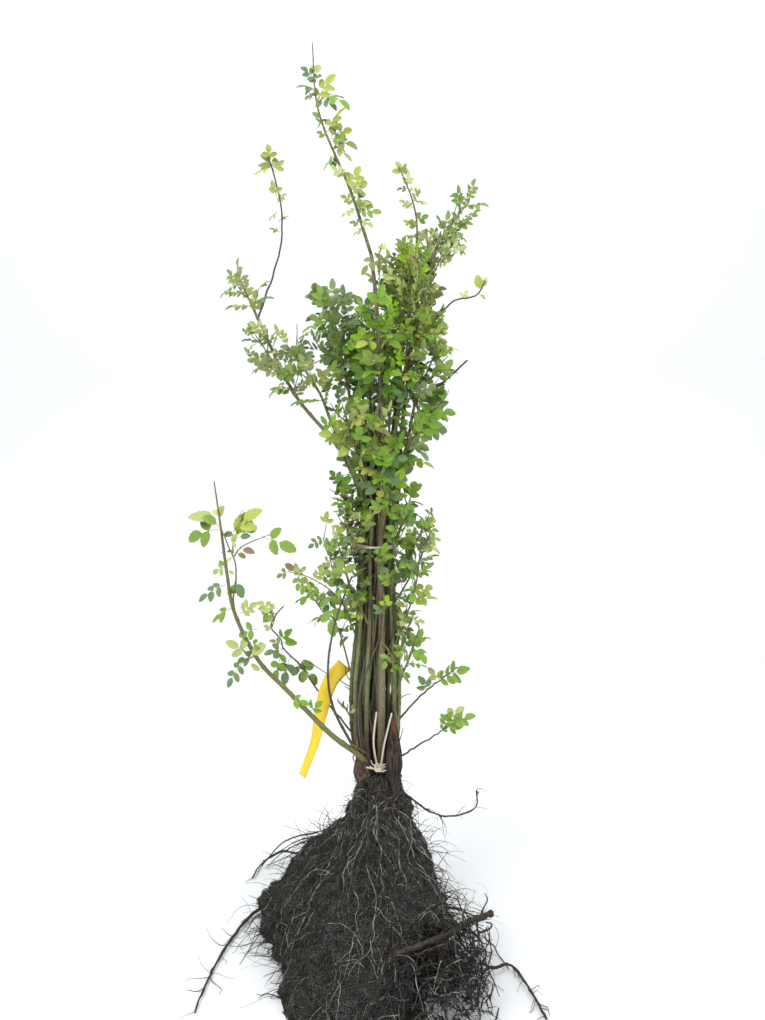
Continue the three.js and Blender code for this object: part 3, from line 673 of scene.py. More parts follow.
# %% Where the masses grow
# Each mass: its limb, the height where it leaves it (None is the limb's tip), its stem's route, the radius of its
# space, the share of its stem that is bare at the foot, its look, and the bare share at the end if there is one
MASSES = [
    ("leaves_tall", "cane_tall", None, [[-20, -11, 812], [-52, -16, 895], [-56, -16, 959.5]], 33, 0.12, "tuft", 0.17),
    ("leaves_right_top", "cane_right_top", None, [[104, 8, 806]], 33, 0.1, "tip"),
    ("leaves_thin", "cane_thin", None, [[48, 42, 792], [43, 42, 818], [29, 42, 853]], 26, 0.1, "tuft", 0.1),
    ("leaves_crown_right_back", "cane_right_back", None, [[54, 36, 738]], 41, 0.1, "upper"),
    ("leaves_crown_upper", "cane_centre_right", None, [[40, -16, 744]], 37, 0.1, "upper"),
    ("leaves_crown_right", "cane_right", None, [[72, -4, 662]], 38, 0.1, "crown"),
    ("leaves_crown_left", "cane_left_front", None, [[-44, -18, 700]], 44, 0.1, "deep"),
    ("leaves_crown_left_back", "cane_left_back", None, [[-38, 40, 692]], 38, 0.1, "deep"),
    ("leaves_crown_centre", "cane_centre", None, [[-10, 4, 668]], 32, 0.1, "crown"),
    ("leaves_crown_centre_back", "cane_centre_back", None, [[14, 14, 742]], 32, 0.1, "upper"),
    ("leaves_crown_back", "cane_back", None, [[4, 56, 660]], 38, 0.1, "deep"),
    ("leaves_crown_front", "cane_tall", 590, [[4, -46, 690]], 37, 0.1, "bright"),
    ("leaves_low_left", "cane_low_left", None, [[-34, -28, 592]], 38, 0, "bright"),
    ("leaves_low_right", "cane_low_right", None, [[66, -20, 588]], 38, 0, "bright"),
    ("leaves_low_front", "cane_tall", 474, [[10, -48, 576]], 34, 0.1, "bright"),
    ("leaves_low_back", "cane_back", 478, [[-14, 54, 574]], 38, 0.1, "crown"),
    ("leaves_left_head", "cane_left_high", None, [[-150, 26, 736]], 32, 0, "left"),
    ("leaves_left_middle", "cane_left_high", 592, [[-130, 6, 670]], 31, 0.1, "left"),
    ("leaves_left_whip", "cane_left_high", 690, [
        [-104, 32, 768], [-102, 36, 812], [-115, 38, 870],
    ], 25, 0, "bare"),
    ("leaves_left_second", "cane_left_second", None, [[-90, -30, 656]], 38, 0.1, "left"),
    ("leaves_tie_left", "cane_left_second", 352, [[-44, -26, 446]], 28, 0.2, "low"),
    ("leaves_tie_right", "cane_low_right", 318, [[40, -18, 392], [48, -18, 456]], 30, 0.35, "low"),
    ("leaves_lower_right", "cane_low_right", 262, [[42, -26, 344]], 27, 0.3, "low"),
    ("leaves_lower_left", "cane_left_high", 282, [[-52, 2, 348], [-88, 4, 400]], 33, 0.3, "open"),
    ("leaves_left_twig", "cane_left_high", 214, [
        [-76, 13, 264], [-96, 13, 295], [-114, 13, 315], [-118, 13, 328],
        [-127, 13, 337], [-125, 13, 350], [-112, 13, 365],
    ], 29, 0, "bare"),
    ("leaves_low_left_head", "low_left_bough", None, [[-171, -46, 516]], 42, 0, "bare"),
    ("leaves_low_left_side", "low_left_bough", 370, [
        [-156, -47, 389], [-152, -48, 409], [-152, -48, 429], [-158, -48, 445], [-165, -47, 464],
    ], 29, 0, "bare"),
    ("leaves_right_twig", "cane_right", 232, [[49, -3, 267], [86, -6, 297]], 26, 0, "bare"),
    ("leaves_right_foot_twig", "cane_right", 182, [[40, -3, 203], [58, -6, 215], [72, -8, 227]], 26, 0, "bare"),
    ("leaves_right_curved_twig", "cane_right_top", 655, [
        [61, -8, 671], [71, -9, 688], [88, -10, 701], [103, -10, 703], [112, -10, 707], [119, -10, 720],
    ], 24, 0, "bare"),
]
print("masses:", len(MASSES))

# %% [markdown]
# ## Small sprays
# Between the masses a rose fills each gap with short sprays of leaves. Larger masses could fill them too, but would
# lose their outlines. A spray is a mass without a solid, so its row has no name.

# %% Where the sprays grow
SPRAYS = [
    ("cane_right_top", 640, [[60, -4, 690]], 30, 0.2, "upper"),
    ("cane_right_top", 690, [[40, 6, 748]], 26, 0.2, "upper"),
    ("cane_right_top", 712, [[84, 10, 770]], 26, 0.3, "tip"),
    ("cane_right_top", 720, [[62, 20, 772]], 24, 0.3, "tip"),
    ("cane_thin", 690, [[30, 34, 760]], 28, 0.2, "upper"),
    ("cane_thin", 700, [[58, 34, 756]], 24, 0.2, "upper"),
    ("cane_tall", 330, [[12, -38, 322], [16, -42, 300]], 15, 0.4, "bright"),
    ("cane_low_left", 430, [[-26, -36, 446], [-27, -40, 458]], 15, 0.4, "deep"),
    ("cane_right", 430, [[38, -10, 496]], 25, 0.2, "bright"),
    ("cane_low_right", 416, [[32, -30, 478]], 24, 0.2, "bright"),
    ("cane_right", 386, [[44, -8, 446], [56, -10, 470]], 22, 0.35, "low"),
    ("cane_right_back", 360, [[46, 6, 420], [58, 2, 452]], 22, 0.35, "low"),
    ("cane_low_right", 300, [[38, -22, 366]], 18, 0.4, "low"),
    ("cane_tall", 392, [[0, -32, 416], [4, -38, 446]], 17, 0.4, "bright"),
    ("cane_tall", 340, [[6, -34, 372], [6, -38, 392]], 15, 0.5, "bright"),
    ("cane_tall", 446, [[10, -34, 486], [8, -40, 508]], 18, 0.4, "bright"),
    ("cane_low_right", 372, [[16, -32, 404], [20, -36, 424]], 16, 0.5, "low"),
    ("cane_low_left", 430, [[-34, -24, 500]], 24, 0.2, "crown"),
    ("cane_left_high", 452, [[-44, -8, 512]], 24, 0.2, "crown"),
    ("cane_left_second", 404, [[-36, -20, 468]], 22, 0.25, "low"),
    ("cane_low_left", 348, [[-32, -30, 400]], 20, 0.3, "low"),
    ("cane_left_high", 330, [[-48, 0, 388], [-56, 2, 424]], 22, 0.25, "open"),
    ("cane_left_back", 380, [[-38, 24, 452]], 26, 0.2, "low"),
    ("cane_back", 370, [[4, 36, 440]], 26, 0.2, "low"),
    ("cane_right_back", 300, [[30, 28, 360]], 24, 0.3, "low"),
    ("cane_thin", 420, [[16, 34, 490]], 26, 0.2, "crown"),
    ("cane_left_second", 232, [[-44, -24, 262]], 15, 0.4, "low"),
    ("cane_low_left", 200, [[-36, -38, 222]], 14, 0.4, "bright"),
]
print("sprays:", len(SPRAYS))

# %% [markdown]
# ## Looks and spaces of the masses
# Leaves at a tip are small, pale and close together, and lower ones larger and darker. One set of numbers would make
# the bush even, so each kind of mass has a look of its own. None is a bare stem, whose leaves are placed further on.

# %% Looks and spaces of the masses
# Length of a leaf's end leaflet, least and most pairs of side leaflets, how far apart leaves and side twigs stand,
# the bends of its leaflets, its tints with the share of each, and how far in radians leaves turn from their twig
Look = namedtuple("Look", "leaflet pairs leaf_gap twig_gap bends tints opening")
LOOKS = {
    "bare": None,
    "tuft": Look(8.5, (1, 2), 13, 300, (0, 1, 2, 4), {"fresh": 3, "sage": 3, "mid": 2, "olive": 1}, (0.4, 1.1)),
    "tip": Look(11, (2, 3), 8, 13, (0, 1, 2, 4), {
        "fresh": 4, "sage": 4, "pale": 1, "mid": 3, "leaf": 1}, (0.3, 1.0)),
    "upper": Look(13, (2, 3), 7, 10.5, (0, 1, 2, 4), {
        "fresh": 6, "sage": 4, "mid": 3, "leaf": 2, "lime": 2}, (0.4, 1.1)),
    # The crown and deep looks deal out some leaves in the shade tint, which is painted shade for leaves in the
    # crown's shadow.
    "crown": Look(15.5, (2, 2), 7, 11, (0, 1, 3), {
        "mid": 4, "leaf": 5, "deep": 4, "lime": 2, "fresh": 3, "blue": 1, "shade": 1}, (0.55, 1.25)),
    "bright": Look(17, (1, 2), 8, 12, (0, 1, 3), {
        "leaf": 6, "lime": 2, "mid": 4, "deep": 2, "blue": 4, "fresh": 2}, (0.55, 1.25)),
    "deep": Look(12.5, (2, 3), 6.5, 11, (0, 1, 2), {
        "blue": 4, "deep": 4, "mid": 4, "shade": 1, "leaf": 3}, (0.5, 1.2)),
    "left": Look(12, (2, 3), 7.5, 13, (0, 1, 2), {
        "mid": 4, "sage": 5, "olive": 1, "fresh": 2, "blue": 2}, (0.4, 1.1)),
    "low": Look(15, (1, 2), 9, 16, (0, 1, 3), {
        "mid": 5, "leaf": 4, "sage": 2, "blue": 3, "fresh": 3}, (0.5, 1.2)),
    "open": Look(12.5, (1, 2), 12, 26, (0, 1, 3), {
        "mid": 4, "sage": 3, "blue": 3, "leaf": 2, "fresh": 1}, (0.4, 1.1)),
}
# The balls of a space: how many, how far leaves may pass them, and their radius at its ends and in its middle
SPACE = {"balls": 7, "slack": 1.08, "ends": 0.66, "middle": 0.34, "skew": 0.8}
STEM = {"girth": 1.2, "lead": 0.3}  # radius of a stem on a limb's side, and how far it first follows a limb's tip
DARK_STEMS = {  # free twigs with the dark, kinked bark of old shoots
    "leaves_left_twig", "leaves_left_whip", "leaves_right_twig", "leaves_right_foot_twig", "leaves_right_curved_twig",
}


class Mass:
    """A stem from its limb's tip or side, and the row of balls that its leaves keep to."""

    def __init__(self, name, limb, height, route, radius, opened, look, free=0):
        self.name = name
        self.look = LOOKS[look]
        self.opened = opened
        self.free = free
        limb_route, _, tip = limbs[limb]
        share = share_at_height(limb_route, height) if height else 1.0
        start, way = at_share(limb_route, share)
        self.girth = tip if share == 1.0 else STEM["girth"]
        points = [start, *route]
        if share == 1.0 and len(route) == 1:
            points.insert(1, start + way * np.linalg.norm(np.array(route[0]) - start) * STEM["lead"])
        self.stem = smooth_route(points, 120)
        t = np.linspace(0, 1, SPACE["balls"])
        self.centres = np.array([at_share(self.stem, opened + (1 - opened) * s)[0] for s in t])
        self.radii = radius * (SPACE["ends"] + SPACE["middle"] * np.sin(math.pi * t ** SPACE["skew"]))

    def holds(self, points):
        """True if every point is inside the mass's space."""
        gaps = np.linalg.norm(points[:, None] - self.centres, axis=2) / self.radii
        return bool((gaps.min(axis=1) <= SPACE["slack"]).all())


masses = [Mass(*row) for row in MASSES] + [Mass("spray", *row) for row in SPRAYS]
print("masses and sprays:", len(masses), "stems:", round(sum(length_of(mass.stem) for mass in masses)), "mm")

# %% [markdown]
# ## A compound leaf
# A rose leaf is a drooping stalk with pairs of leaflets along it and one at its end. A leaf could be copied whole,
# but then its leaflets would all stand alike, so each leaf is put together anew, with its leaflets a little askew.

# %% A compound leaf
# Lengths as shares of the end leaflet's: the bare foot of the stalk, the way from pair to pair, and the last stretch
LEAF = {"petiole": 0.5, "apart": 0.6, "last": 0.36, "opening": 1.12, "droop": 0.22, "sizes": (1.0, 0.84, 0.68)}
SIDE_LEAFLET = {"size": 0.92, "less": 0.1}  # the top pair's size, and how much smaller each pair below it is
Leaflet = namedtuple("Leaflet", "foot heading face length tint bend")
leaflets = []
stalks = []  # the middle line of each leaf's stalk


def square_to(axis, vector):
    return unit(vector - axis * vector.dot(axis))


def spread_from(axis, turn, angle):
    """A direction at an angle to an axis, turned round it."""
    side = square_to(axis, np.array([1.0, 0, 0]) if abs(axis[2]) > 0.95 else UP)
    side = side * math.cos(turn) + np.cross(axis, side) * math.sin(turn)
    return axis * math.cos(angle) + side * math.sin(angle)


def stalk_share(pairs):
    """The length of a leaf's stalk as a share of its end leaflet's."""
    return LEAF["petiole"] + LEAF["apart"] * (pairs - 1) + LEAF["last"]


def leaf_stalk_line(foot, heading, pairs, length):
    """A leaf's stalk, which droops to its tip, and its reach, for the length of its end leaflet."""
    reach = length * stalk_share(pairs)
    s = np.linspace(0, 1, 5)[:, None]
    return foot + heading * reach * s - UP * (LEAF["droop"] * reach) * s ** 2, reach


def build_leaf(rng, stalk, reach, face, across, pairs, length, bends, tint):
    """Adds an end leaflet, pairs of side leaflets and their stalk."""
    _, way = at_share(stalk, 1.0)
    bend = lambda: int(rng.choice(bends))
    leaflets.append(Leaflet(stalk[-1], way, square_to(way, face), length, tint, bend()))
    for pair in range(pairs):
        share = (LEAF["petiole"] + LEAF["apart"] * pair) * length / reach
        place, way = at_share(stalk, share)
        size = length * (SIDE_LEAFLET["size"] - SIDE_LEAFLET["less"] * (pairs - 1 - pair)) * rng.uniform(0.92, 1.05)
        for side in (1, -1):
            opening = LEAF["opening"] + rng.normal(0, 0.12)
            side_way = unit(way * math.cos(opening) + across * side * math.sin(opening) - UP * 0.1)
            tilted = square_to(side_way, face + across * side * rng.normal(0.12, 0.2) + way * rng.normal(0, 0.15))
            leaflets.append(Leaflet(place, side_way, tilted, size, tint, bend()))
    stalks.append(stalk)


print("stalks for 0 to 3 pairs:", [round(stalk_share(pairs), 2) for pairs in range(4)], "end leaflets long")

# %% [markdown]
# ## Growing the masses
# A mass could be a cloud of strewn leaves, but leaves of a real plant sit on twigs. So each stem grows side twigs,
# and both grow leaves, each a golden angle further round than the last, as buds are.

# %% Growth rules
GOLDEN_ANGLE = math.radians(137.5)
TRIES = 4  # places round its twig where a leaf is tried
VIGOUR = (0.82, 1.1)
FACING = {"outward": 0.55, "up": 0.6, "chance": 0.35}  # where a leaf's face looks
twigs = []  # (path, radius at its foot, radius at its tip)
dark_twigs = []  # the same, in dark bark


def grow_leaf(rng, mass, foot, heading, tint):
    """Adds one whole leaf if some size of it stays in the mass's space."""
    fewest, most = mass.look.pairs
    pairs = rng.integers(fewest, most + 1)
    outward = np.array([foot[0], foot[1], 0.0])
    look_way = unit(outward) * FACING["outward"] + UP * FACING["up"] + rng.normal(0, FACING["chance"], 3)
    face = square_to(heading, look_way)
    across = np.cross(face, heading)
    vigour = rng.uniform(*VIGOUR)
    for size in LEAF["sizes"]:
        length = mass.look.leaflet * size * vigour
        stalk, reach = leaf_stalk_line(foot, heading, pairs, length)
        tip = stalk[-1] + at_share(stalk, 1.0)[1] * length
        widest = at_share(stalk, 0.75)[0] + across * np.array([[1], [-1]]) * length * 0.9
        if mass.holds(np.vstack([tip, widest])):
            build_leaf(rng, stalk, reach, face, across, pairs, length, mass.look.bends, tint)
            return True
    return False


# %% [markdown]
# ## Twigs and their rows of leaves
# Side twigs leave their stem at a wide angle and bend up to the light. Leaves follow each other from the tip
# downwards, so that every twig ends in one.

# %% Rows of leaves
TINT_CHANGE = 0.45  # how often the next leaf on a twig has a tint of its own
TWIG = {"angle": (0.6, 1.0), "rise": 0.3, "kink": 0.02, "girth": (0.85, 0.45), "reach": (0.45, 0.85), "bare": 0.35}


def grow_twig(rng, start, axis, turn, length):
    """The path of a side twig that bends upwards."""
    heading = spread_from(axis, turn, rng.uniform(*TWIG["angle"]))
    s = np.linspace(0, 1, 7)[:, None]
    kinks = np.cumsum(rng.normal(0, TWIG["kink"], (7, 3)), axis=0) * length
    path = start + heading * length * s + UP * length * TWIG["rise"] * s ** 2 + kinks * (s > 0)
    twigs.append((path, *TWIG["girth"]))
    return path


def leaves_along(rng, mass, path, first, last, spacing, tints):
    """Leaves on a stem or twig, the first one at its tip."""
    count = max(1, int(length_of(path) * (last - first) / spacing))
    grown = 0
    tint = rng.choice(tints)
    for k in range(count + 1):
        foot, axis = at_share(path, last - (last - first) * k / count)
        if rng.random() < TINT_CHANGE:
            tint = rng.choice(tints)
        for attempt in range(TRIES):
            turn = (k + 0.37 * attempt) * GOLDEN_ANGLE + rng.uniform(0, 0.8)
            angle = rng.uniform(0.1, 0.5) if k == 0 and not mass.free else rng.uniform(*mass.look.opening)
            if grow_leaf(rng, mass, foot, spread_from(axis, turn, angle), tint):
                grown += 1
                break
    return grown


def grow_mass(index, mass):
    """The stem, side twigs and leaves of one mass."""
    rng = np.random.default_rng(400 + index)
    stem = evenly(mass.stem, 24)
    if mass.name in DARK_STEMS:
        kinks = rng.normal(0, 0.4, stem.shape)
        kinks[[0, -1]] = 0
        dark_twigs.append((stem + kinks, mass.girth, 0.8))
    else:
        twigs.append((stem, mass.girth, 0.7))
    if mass.look is None:
        return 0
    tints = [tint for tint, share in mass.look.tints.items() for _ in range(share)]
    grown = leaves_along(rng, mass, mass.stem, mass.opened, 1 - mass.free, mass.look.leaf_gap, tints)
    span = length_of(mass.stem) * (1 - mass.opened - mass.free)
    for k in range(int(span / mass.look.twig_gap)):
        share = mass.opened + (k + 0.5) * mass.look.twig_gap / length_of(mass.stem)
        start, axis = at_share(mass.stem, share)
        ball = min(int((share - mass.opened) * SPACE["balls"]), SPACE["balls"] - 1)
        length = mass.radii[ball] * rng.uniform(*TWIG["reach"])
        path = grow_twig(rng, start, axis, k * GOLDEN_ANGLE * 1.9, length)
        grown += leaves_along(rng, mass, path, TWIG["bare"], 1.0, mass.look.leaf_gap, tints)
    return grown


# %% [markdown]
# ## Withered leaves
# A few leaves that the twine has pinched hang dry at the upper tie. They could be curled one by one, but they are
# small and dark, so single leaflets at any angle read the same.

# %% Withered leaves
WITHERED = {
    "places": [
        (-22, -26, 484), (-26, -26, 468), (-18, -28, 450), (-24, -26, 432), (-25, -26, 418), (-22, -28, 396)],
    "each": 12, "spread": 4, "length": (4, 9),
}
rng = np.random.default_rng(77)
for place in WITHERED["places"]:
    for _ in range(WITHERED["each"]):
        way, face = unit(rng.normal(0, 1, (2, 3)))
        foot = np.array(place) + rng.normal(0, WITHERED["spread"], 3)
        length = rng.uniform(*WITHERED["length"])
        bend = int(rng.integers(0, len(BENDS)))
        leaflets.append(Leaflet(foot, way, square_to(way, face), length, "withered", bend))
print("withered leaflets:", len(leaflets))

# %% [markdown]
# ## Leaves of the masses
# Every mass is grown from a seed of its own, so a change to one of them leaves the others as they are.

# %% Leaves of the masses
for index, mass in enumerate(masses):
    grown = grow_mass(index, mass)
    print(mass.name, grown, end="; ")
print("\nleaves:", len(stalks), "leaflets:", len(leaflets))

# %% [markdown]
# ## Leaves on free twigs
# Where a twig stands free, each of its leaves shows. The rule could grow them too, but only by chance in the right
# places, so these are placed one by one. Each place is an x and a height in a group that has one depth.

# %% Leaves on free twigs
# Each group: its depth, its own twigs, and its leaves: x and height of foot and of tip, pairs of side leaflets, tint
FREE_TWIGS = {
    "low bough": (-47, [
        [(-153, 435), (-146, 444), (-122, 455), (-113, 458)], [(-154, 438), (-153, 453), (-145, 466)],
        [(-137, 324), (-148, 319)], [(-144, 326), (-151, 336)], [(-110, 372), (-116, 354)],
    ], [
        (-169, 464, -204, 452, 1, "mid"), (-169, 470, -205, 485, 0, "sage"), (-168, 467, -183, 481, 0, "mid"),
        (-153, 461, -125, 489, 1, "fresh"), (-150, 453, -140, 483, 0, "fresh"), (-139, 456, -134, 477, 1, "leaf"),
        (-122, 455, -90, 441, 1, "mid"), (-150, 457, -165, 460, 0, "blue"), (-148, 455, -135, 459, 0, "blue"),
        (-153, 440, -161, 441, 0, "bronze"), (-151, 439, -141, 434, 0, "olive"), (-146, 443, -130, 442, 0, "bronze"),
        (-154, 447, -150, 460, 0, "sage"), (-153, 435, -161, 430, 0, "pale"), (-151, 443, -153, 452, 0, "pale"),
        (-167, 474, -165, 491, 0, "sage"), (-167, 477, -173, 487, 0, "pale"), (-162, 424, -177, 416, 1, "sage"),
        (-162, 424, -169, 431, 0, "mid"), (-161, 420, -154, 417, 0, "sage"), (-164, 404, -189, 388, 2, "blue"),
        (-153, 410, -146, 392, 0, "blue"), (-153, 408, -157, 394, 0, "mid"), (-159, 378, -178, 364, 1, "mid"),
        (-149, 372, -129, 386, 2, "sage"), (-112, 372, -134, 386, 2, "sage"), (-110, 372, -126, 365, 1, "mid"),
        (-131, 355, -151, 346, 1, "mid"), (-143, 328, -164, 344, 1, "sage"), (-140, 336, -124, 336, 1, "mid"),
        (-141, 324, -126, 339, 0, "sage"), (-136, 324, -156, 316, 1, "blue"), (-148, 319, -162, 295, 2, "blue"),
        (-99, 275, -79, 271, 1, "leaf"), (-77, 261, -64, 275, 1, "leaf"), (-128, 307, -139, 316, 0, "sage"),
    ]),
    "left of the sheaf": (-14, [
        [(-34, 360), (-44, 378), (-58, 392), (-80, 405), (-101, 411)],
        [(-44, 412), (-53, 426), (-60, 443), (-57, 462)],
        [(-74, 381), (-65, 367), (-54, 353), (-40, 334)], [(-40, 389), (-34, 377), (-28, 363)],
        [(-90, 301), (-87, 309), (-74, 302), (-61, 293)],
    ], [
        (-84, 407, -96, 418, 1, "sage"), (-100, 411, -113, 405, 1, "olive"), (-93, 409, -103, 421, 0, "bronze"),
        (-74, 402, -86, 386, 1, "fresh"), (-70, 400, -62, 420, 2, "fresh"), (-66, 398, -84, 376, 2, "leaf"),
        (-57, 462, -55, 479, 1, "fresh"), (-59, 448, -75, 438, 2, "blue"), (-57, 436, -45, 450, 1, "mid"),
        (-57, 391, -52, 348, 2, "mid"), (-50, 384, -60, 366, 1, "blue"), (-60, 394, -48, 406, 1, "mid"),
        (-40, 370, -30, 350, 1, "leaf"), (-52, 424, -64, 414, 1, "sage"), (-88, 408, -90, 392, 1, "mid"),
    ]),
    "left twig": (13, [], [
        (-117, 323, -104, 340, 1, "leaf"), (-116, 321, -99, 323, 0, "leaf"), (-115, 315, -122, 284, 2, "mid"),
        (-114, 314, -135, 310, 1, "blue"), (-116, 319, -130, 325, 1, "olive"), (-107, 305, -113, 277, 1, "blue"),
        (-97, 296, -79, 272, 1, "mid"), (-96, 296, -82, 296, 0, "mid"), (-100, 301, -94, 276, 1, "blue"),
        (-126, 337, -138, 342, 1, "sage"), (-126, 346, -137, 361, 1, "mid"),
    ]),
    "tall cane": (-16, [[(-53, 900), (-42, 911)], [(7, 728), (8, 750), (11, 760)]], [
        (-54, 931, -57, 940, 0, "pale"), (-53, 928, -50, 942, 0, "sage"), (-53, 922, -68, 937, 2, "blue"),
        (-54, 913, -73, 919, 1, "blue"), (-53, 916, -65, 911, 0, "mid"), (-54, 920, -61, 928, 0, "mid"),
        (-53, 903, -34, 930, 2, "fresh"), (-42, 911, -22, 894, 1, "leaf"), (-48, 907, -34, 894, 1, "blue"),
        (-50, 885, -57, 894, 0, "mid"), (-49, 881, -54, 887, 0, "blue"), (-42, 874, -24, 896, 2, "fresh"),
        (-40, 868, -17, 878, 2, "fresh"), (-38, 863, -14, 856, 1, "olive"), (-37, 859, -21, 845, 1, "sage"),
        (-42, 875, -29, 891, 1, "sage"), (-40, 866, -25, 862, 1, "mid"), (-44, 873, -30, 876, 1, "olive"),
        (-35, 852, -47, 837, 1, "mid"), (-26, 827, -41, 838, 2, "pale"), (-20, 814, -11, 841, 2, "fresh"),
        (-19, 810, -3, 826, 1, "sage"), (-19, 808, 0, 798, 1, "olive"), (-20, 815, -7, 808, 1, "mid"),
        (-15, 796, -29, 788, 2, "sage"), (-14, 792, 10, 790, 2, "mid"), (-11, 784, 1, 776, 1, "sage"),
        (-10, 781, -23, 783, 1, "olive"), (-8, 775, -19, 770, 1, "sage"), (-15, 797, -1, 802, 1, "sage"),
        (9, 751, 15, 764, 1, "pale"), (4, 747, -9, 731, 1, "olive"),
    ]),
    "whip": (37, [], [
        (-108, 850, -122, 874, 1, "olive"), (-112, 856, -129, 846, 1, "fresh"), (-107, 824, -111, 841, 1, "sage"),
        (-107, 817, -96, 828, 2, "sage"), (-107, 807, -115, 799, 1, "sage"), (-106, 797, -94, 805, 2, "fresh"),
        (-105, 786, -116, 790, 1, "mid"), (-108, 850, -97, 862, 1, "sage"), (-113, 862, -114, 881, 1, "fresh"),
    ]),
    "thin cane": (42, [], [
        (33, 842, 27, 862, 1, "fresh"), (38, 831, 40, 848, 2, "pale"), (40, 825, 53, 833, 1, "pale"),
        (45, 816, 61, 813, 1, "sage"), (44, 808, 29, 818, 2, "sage"), (47, 789, 32, 797, 2, "fresh"),
        (47, 793, 61, 801, 1, "mid"), (47, 780, 62, 784, 2, "fresh"), (47, 776, 34, 780, 2, "mid"),
    ]),
    "right twigs": (-8, [], [
        (114, 709, 111, 726, 0, "fresh"), (116, 712, 120, 724, 0, "pale"), (112, 707, 119, 702, 0, "fresh"),
        (68, 683, 77, 692, 1, "sage"), (66, 679, 80, 674, 0, "mid"), (94, 702, 101, 712, 1, "pale"),
        (72, 226, 105, 245, 3, "mid"), (70, 226, 78, 250, 2, "mid"), (72, 228, 94, 251, 2, "sage"),
        (72, 226, 91, 231, 1, "leaf"), (66, 222, 76, 229, 1, "olive"), (62, 279, 100, 305, 3, "mid"),
        (66, 282, 53, 297, 1, "sage"), (52, 270, 43, 290, 1, "blue"),
    ]),
}
print("twigs and leaves placed:", {name: (len(own[1]), len(own[2])) for name, own in FREE_TWIGS.items()})

# %% [markdown]
# ## Growing the placed leaves
# A placed leaf is given by its two ends only. Its leaflets' length follows from how far apart they are. It could lie
# in the plane of its group, but then the twig would look flat from its side, so a seeded swing turns it out.

# %% Growing the placed leaves
PLACED = {"swing": 0.4, "lift": 0.3, "fuller": 1.12, "bends": (0, 1, 2, 3), "twig": (0.9, 0.5)}
rng = np.random.default_rng(17)
for depth, own_twigs, own_leaves in FREE_TWIGS.values():
    for path in own_twigs:
        twigs.append((smooth_route([(x, depth, z) for x, z in path], 24), *PLACED["twig"]))
    for foot_x, foot_z, tip_x, tip_z, pairs, tint in own_leaves:
        foot = np.array([foot_x, depth, foot_z], float)
        span = np.array([tip_x, depth, tip_z]) - foot
        size = np.linalg.norm(span)
        swing = rng.uniform(-PLACED["swing"], PLACED["swing"]) * size
        heading = unit(unit(span + [0, swing, 0]) + UP * PLACED["lift"])
        face = square_to(heading, unit(rng.normal(0, 0.25, 3) + [0, -0.8, 0.6]))
        length = PLACED["fuller"] * size / (stalk_share(pairs) + 1)
        stalk, reach = leaf_stalk_line(foot, heading, pairs, length)
        build_leaf(rng, stalk, reach, face, np.cross(face, heading), pairs, length, PLACED["bends"], tint)
print("leaves in all:", len(stalks), "leaflets:", len(leaflets))

# %% [markdown]
# ## Leaflets by the thousand
# Thousands of leaflets would be slow as objects of their own. All leaflets of one tint become one mesh instead: for
# each bend, its shape is turned and scaled to every leaflet at once, and the upper and under faces get two skins.

# %% Leaflets by the thousand
def mark_sharp(mesh, blocks):
    """Keeps each leaflet's rim and vein crisp under smooth shading."""
    ends = np.empty(len(mesh.edges) * 2, np.int32)
    mesh.edges.foreach_get("vertices", ends)
    ends = ends.reshape(-1, 2)
    flags = np.zeros(len(ends), bool)
    for offset, size, count, sharp in blocks:
        table = np.zeros((size, size), bool)
        for a, b in (sorted(pair) for pair in sharp):
            table[a, b] = table[b, a] = True
        inside = (ends[:, 0] >= offset) & (ends[:, 0] < offset + size * count)
        local = (ends[inside] - offset) % size
        flags[inside] = table[local[:, 0], local[:, 1]]
    mesh.attributes.new("sharp_edge", "BOOLEAN", "EDGE").data.foreach_set("value", flags)


def leaflet_mesh(name, chosen):
    """All leaflets of one tint as one mesh, upper faces in the first material and under faces in the second."""
    vertices, groups, edges_sharp = [], {}, []
    offset = 0
    for bend, (shape, upper, beneath, sharp) in enumerate(LEAFLET_SHAPES):
        ones = [leaflet for leaflet in chosen if leaflet.bend == bend]
        if not ones:
            continue
        feet, ways, faces_up, lengths = (np.array(column) for column in list(zip(*ones))[:4])
        axes = np.stack([ways, np.cross(faces_up, ways), faces_up], axis=1)
        placed = feet[:, None] + np.einsum("vk,nkj->nvj", shape, axes) * lengths[:, None, None]
        starts = offset + np.arange(len(ones)) * len(shape)
        for faces, back in ((upper, 0), (beneath, 1)):
            for size in (3, 4):
                local = np.array([face for face in faces if len(face) == size])
                groups.setdefault((size, back), []).append((starts[:, None, None] + local).reshape(-1, size))
        edges_sharp.append((offset, len(shape), len(ones), sharp))
        vertices.append(placed.reshape(-1, 3))
        offset += len(ones) * len(shape)
    keys = sorted(groups)
    faces = [np.concatenate(groups[key]) for key in keys]
    mesh = mesh_from_arrays(name, np.concatenate(vertices), faces)
    backs = np.concatenate([np.full(len(group), key[1]) for key, group in zip(keys, faces)])
    mesh.polygons.foreach_set("material_index", backs.astype(np.int32))
    mark_sharp(mesh, edges_sharp)
    return mesh


# %% [markdown]
# ## Leaf pieces
# Every tint becomes a piece. The solids of a slot stay hidden behind the one piece that stands for them.

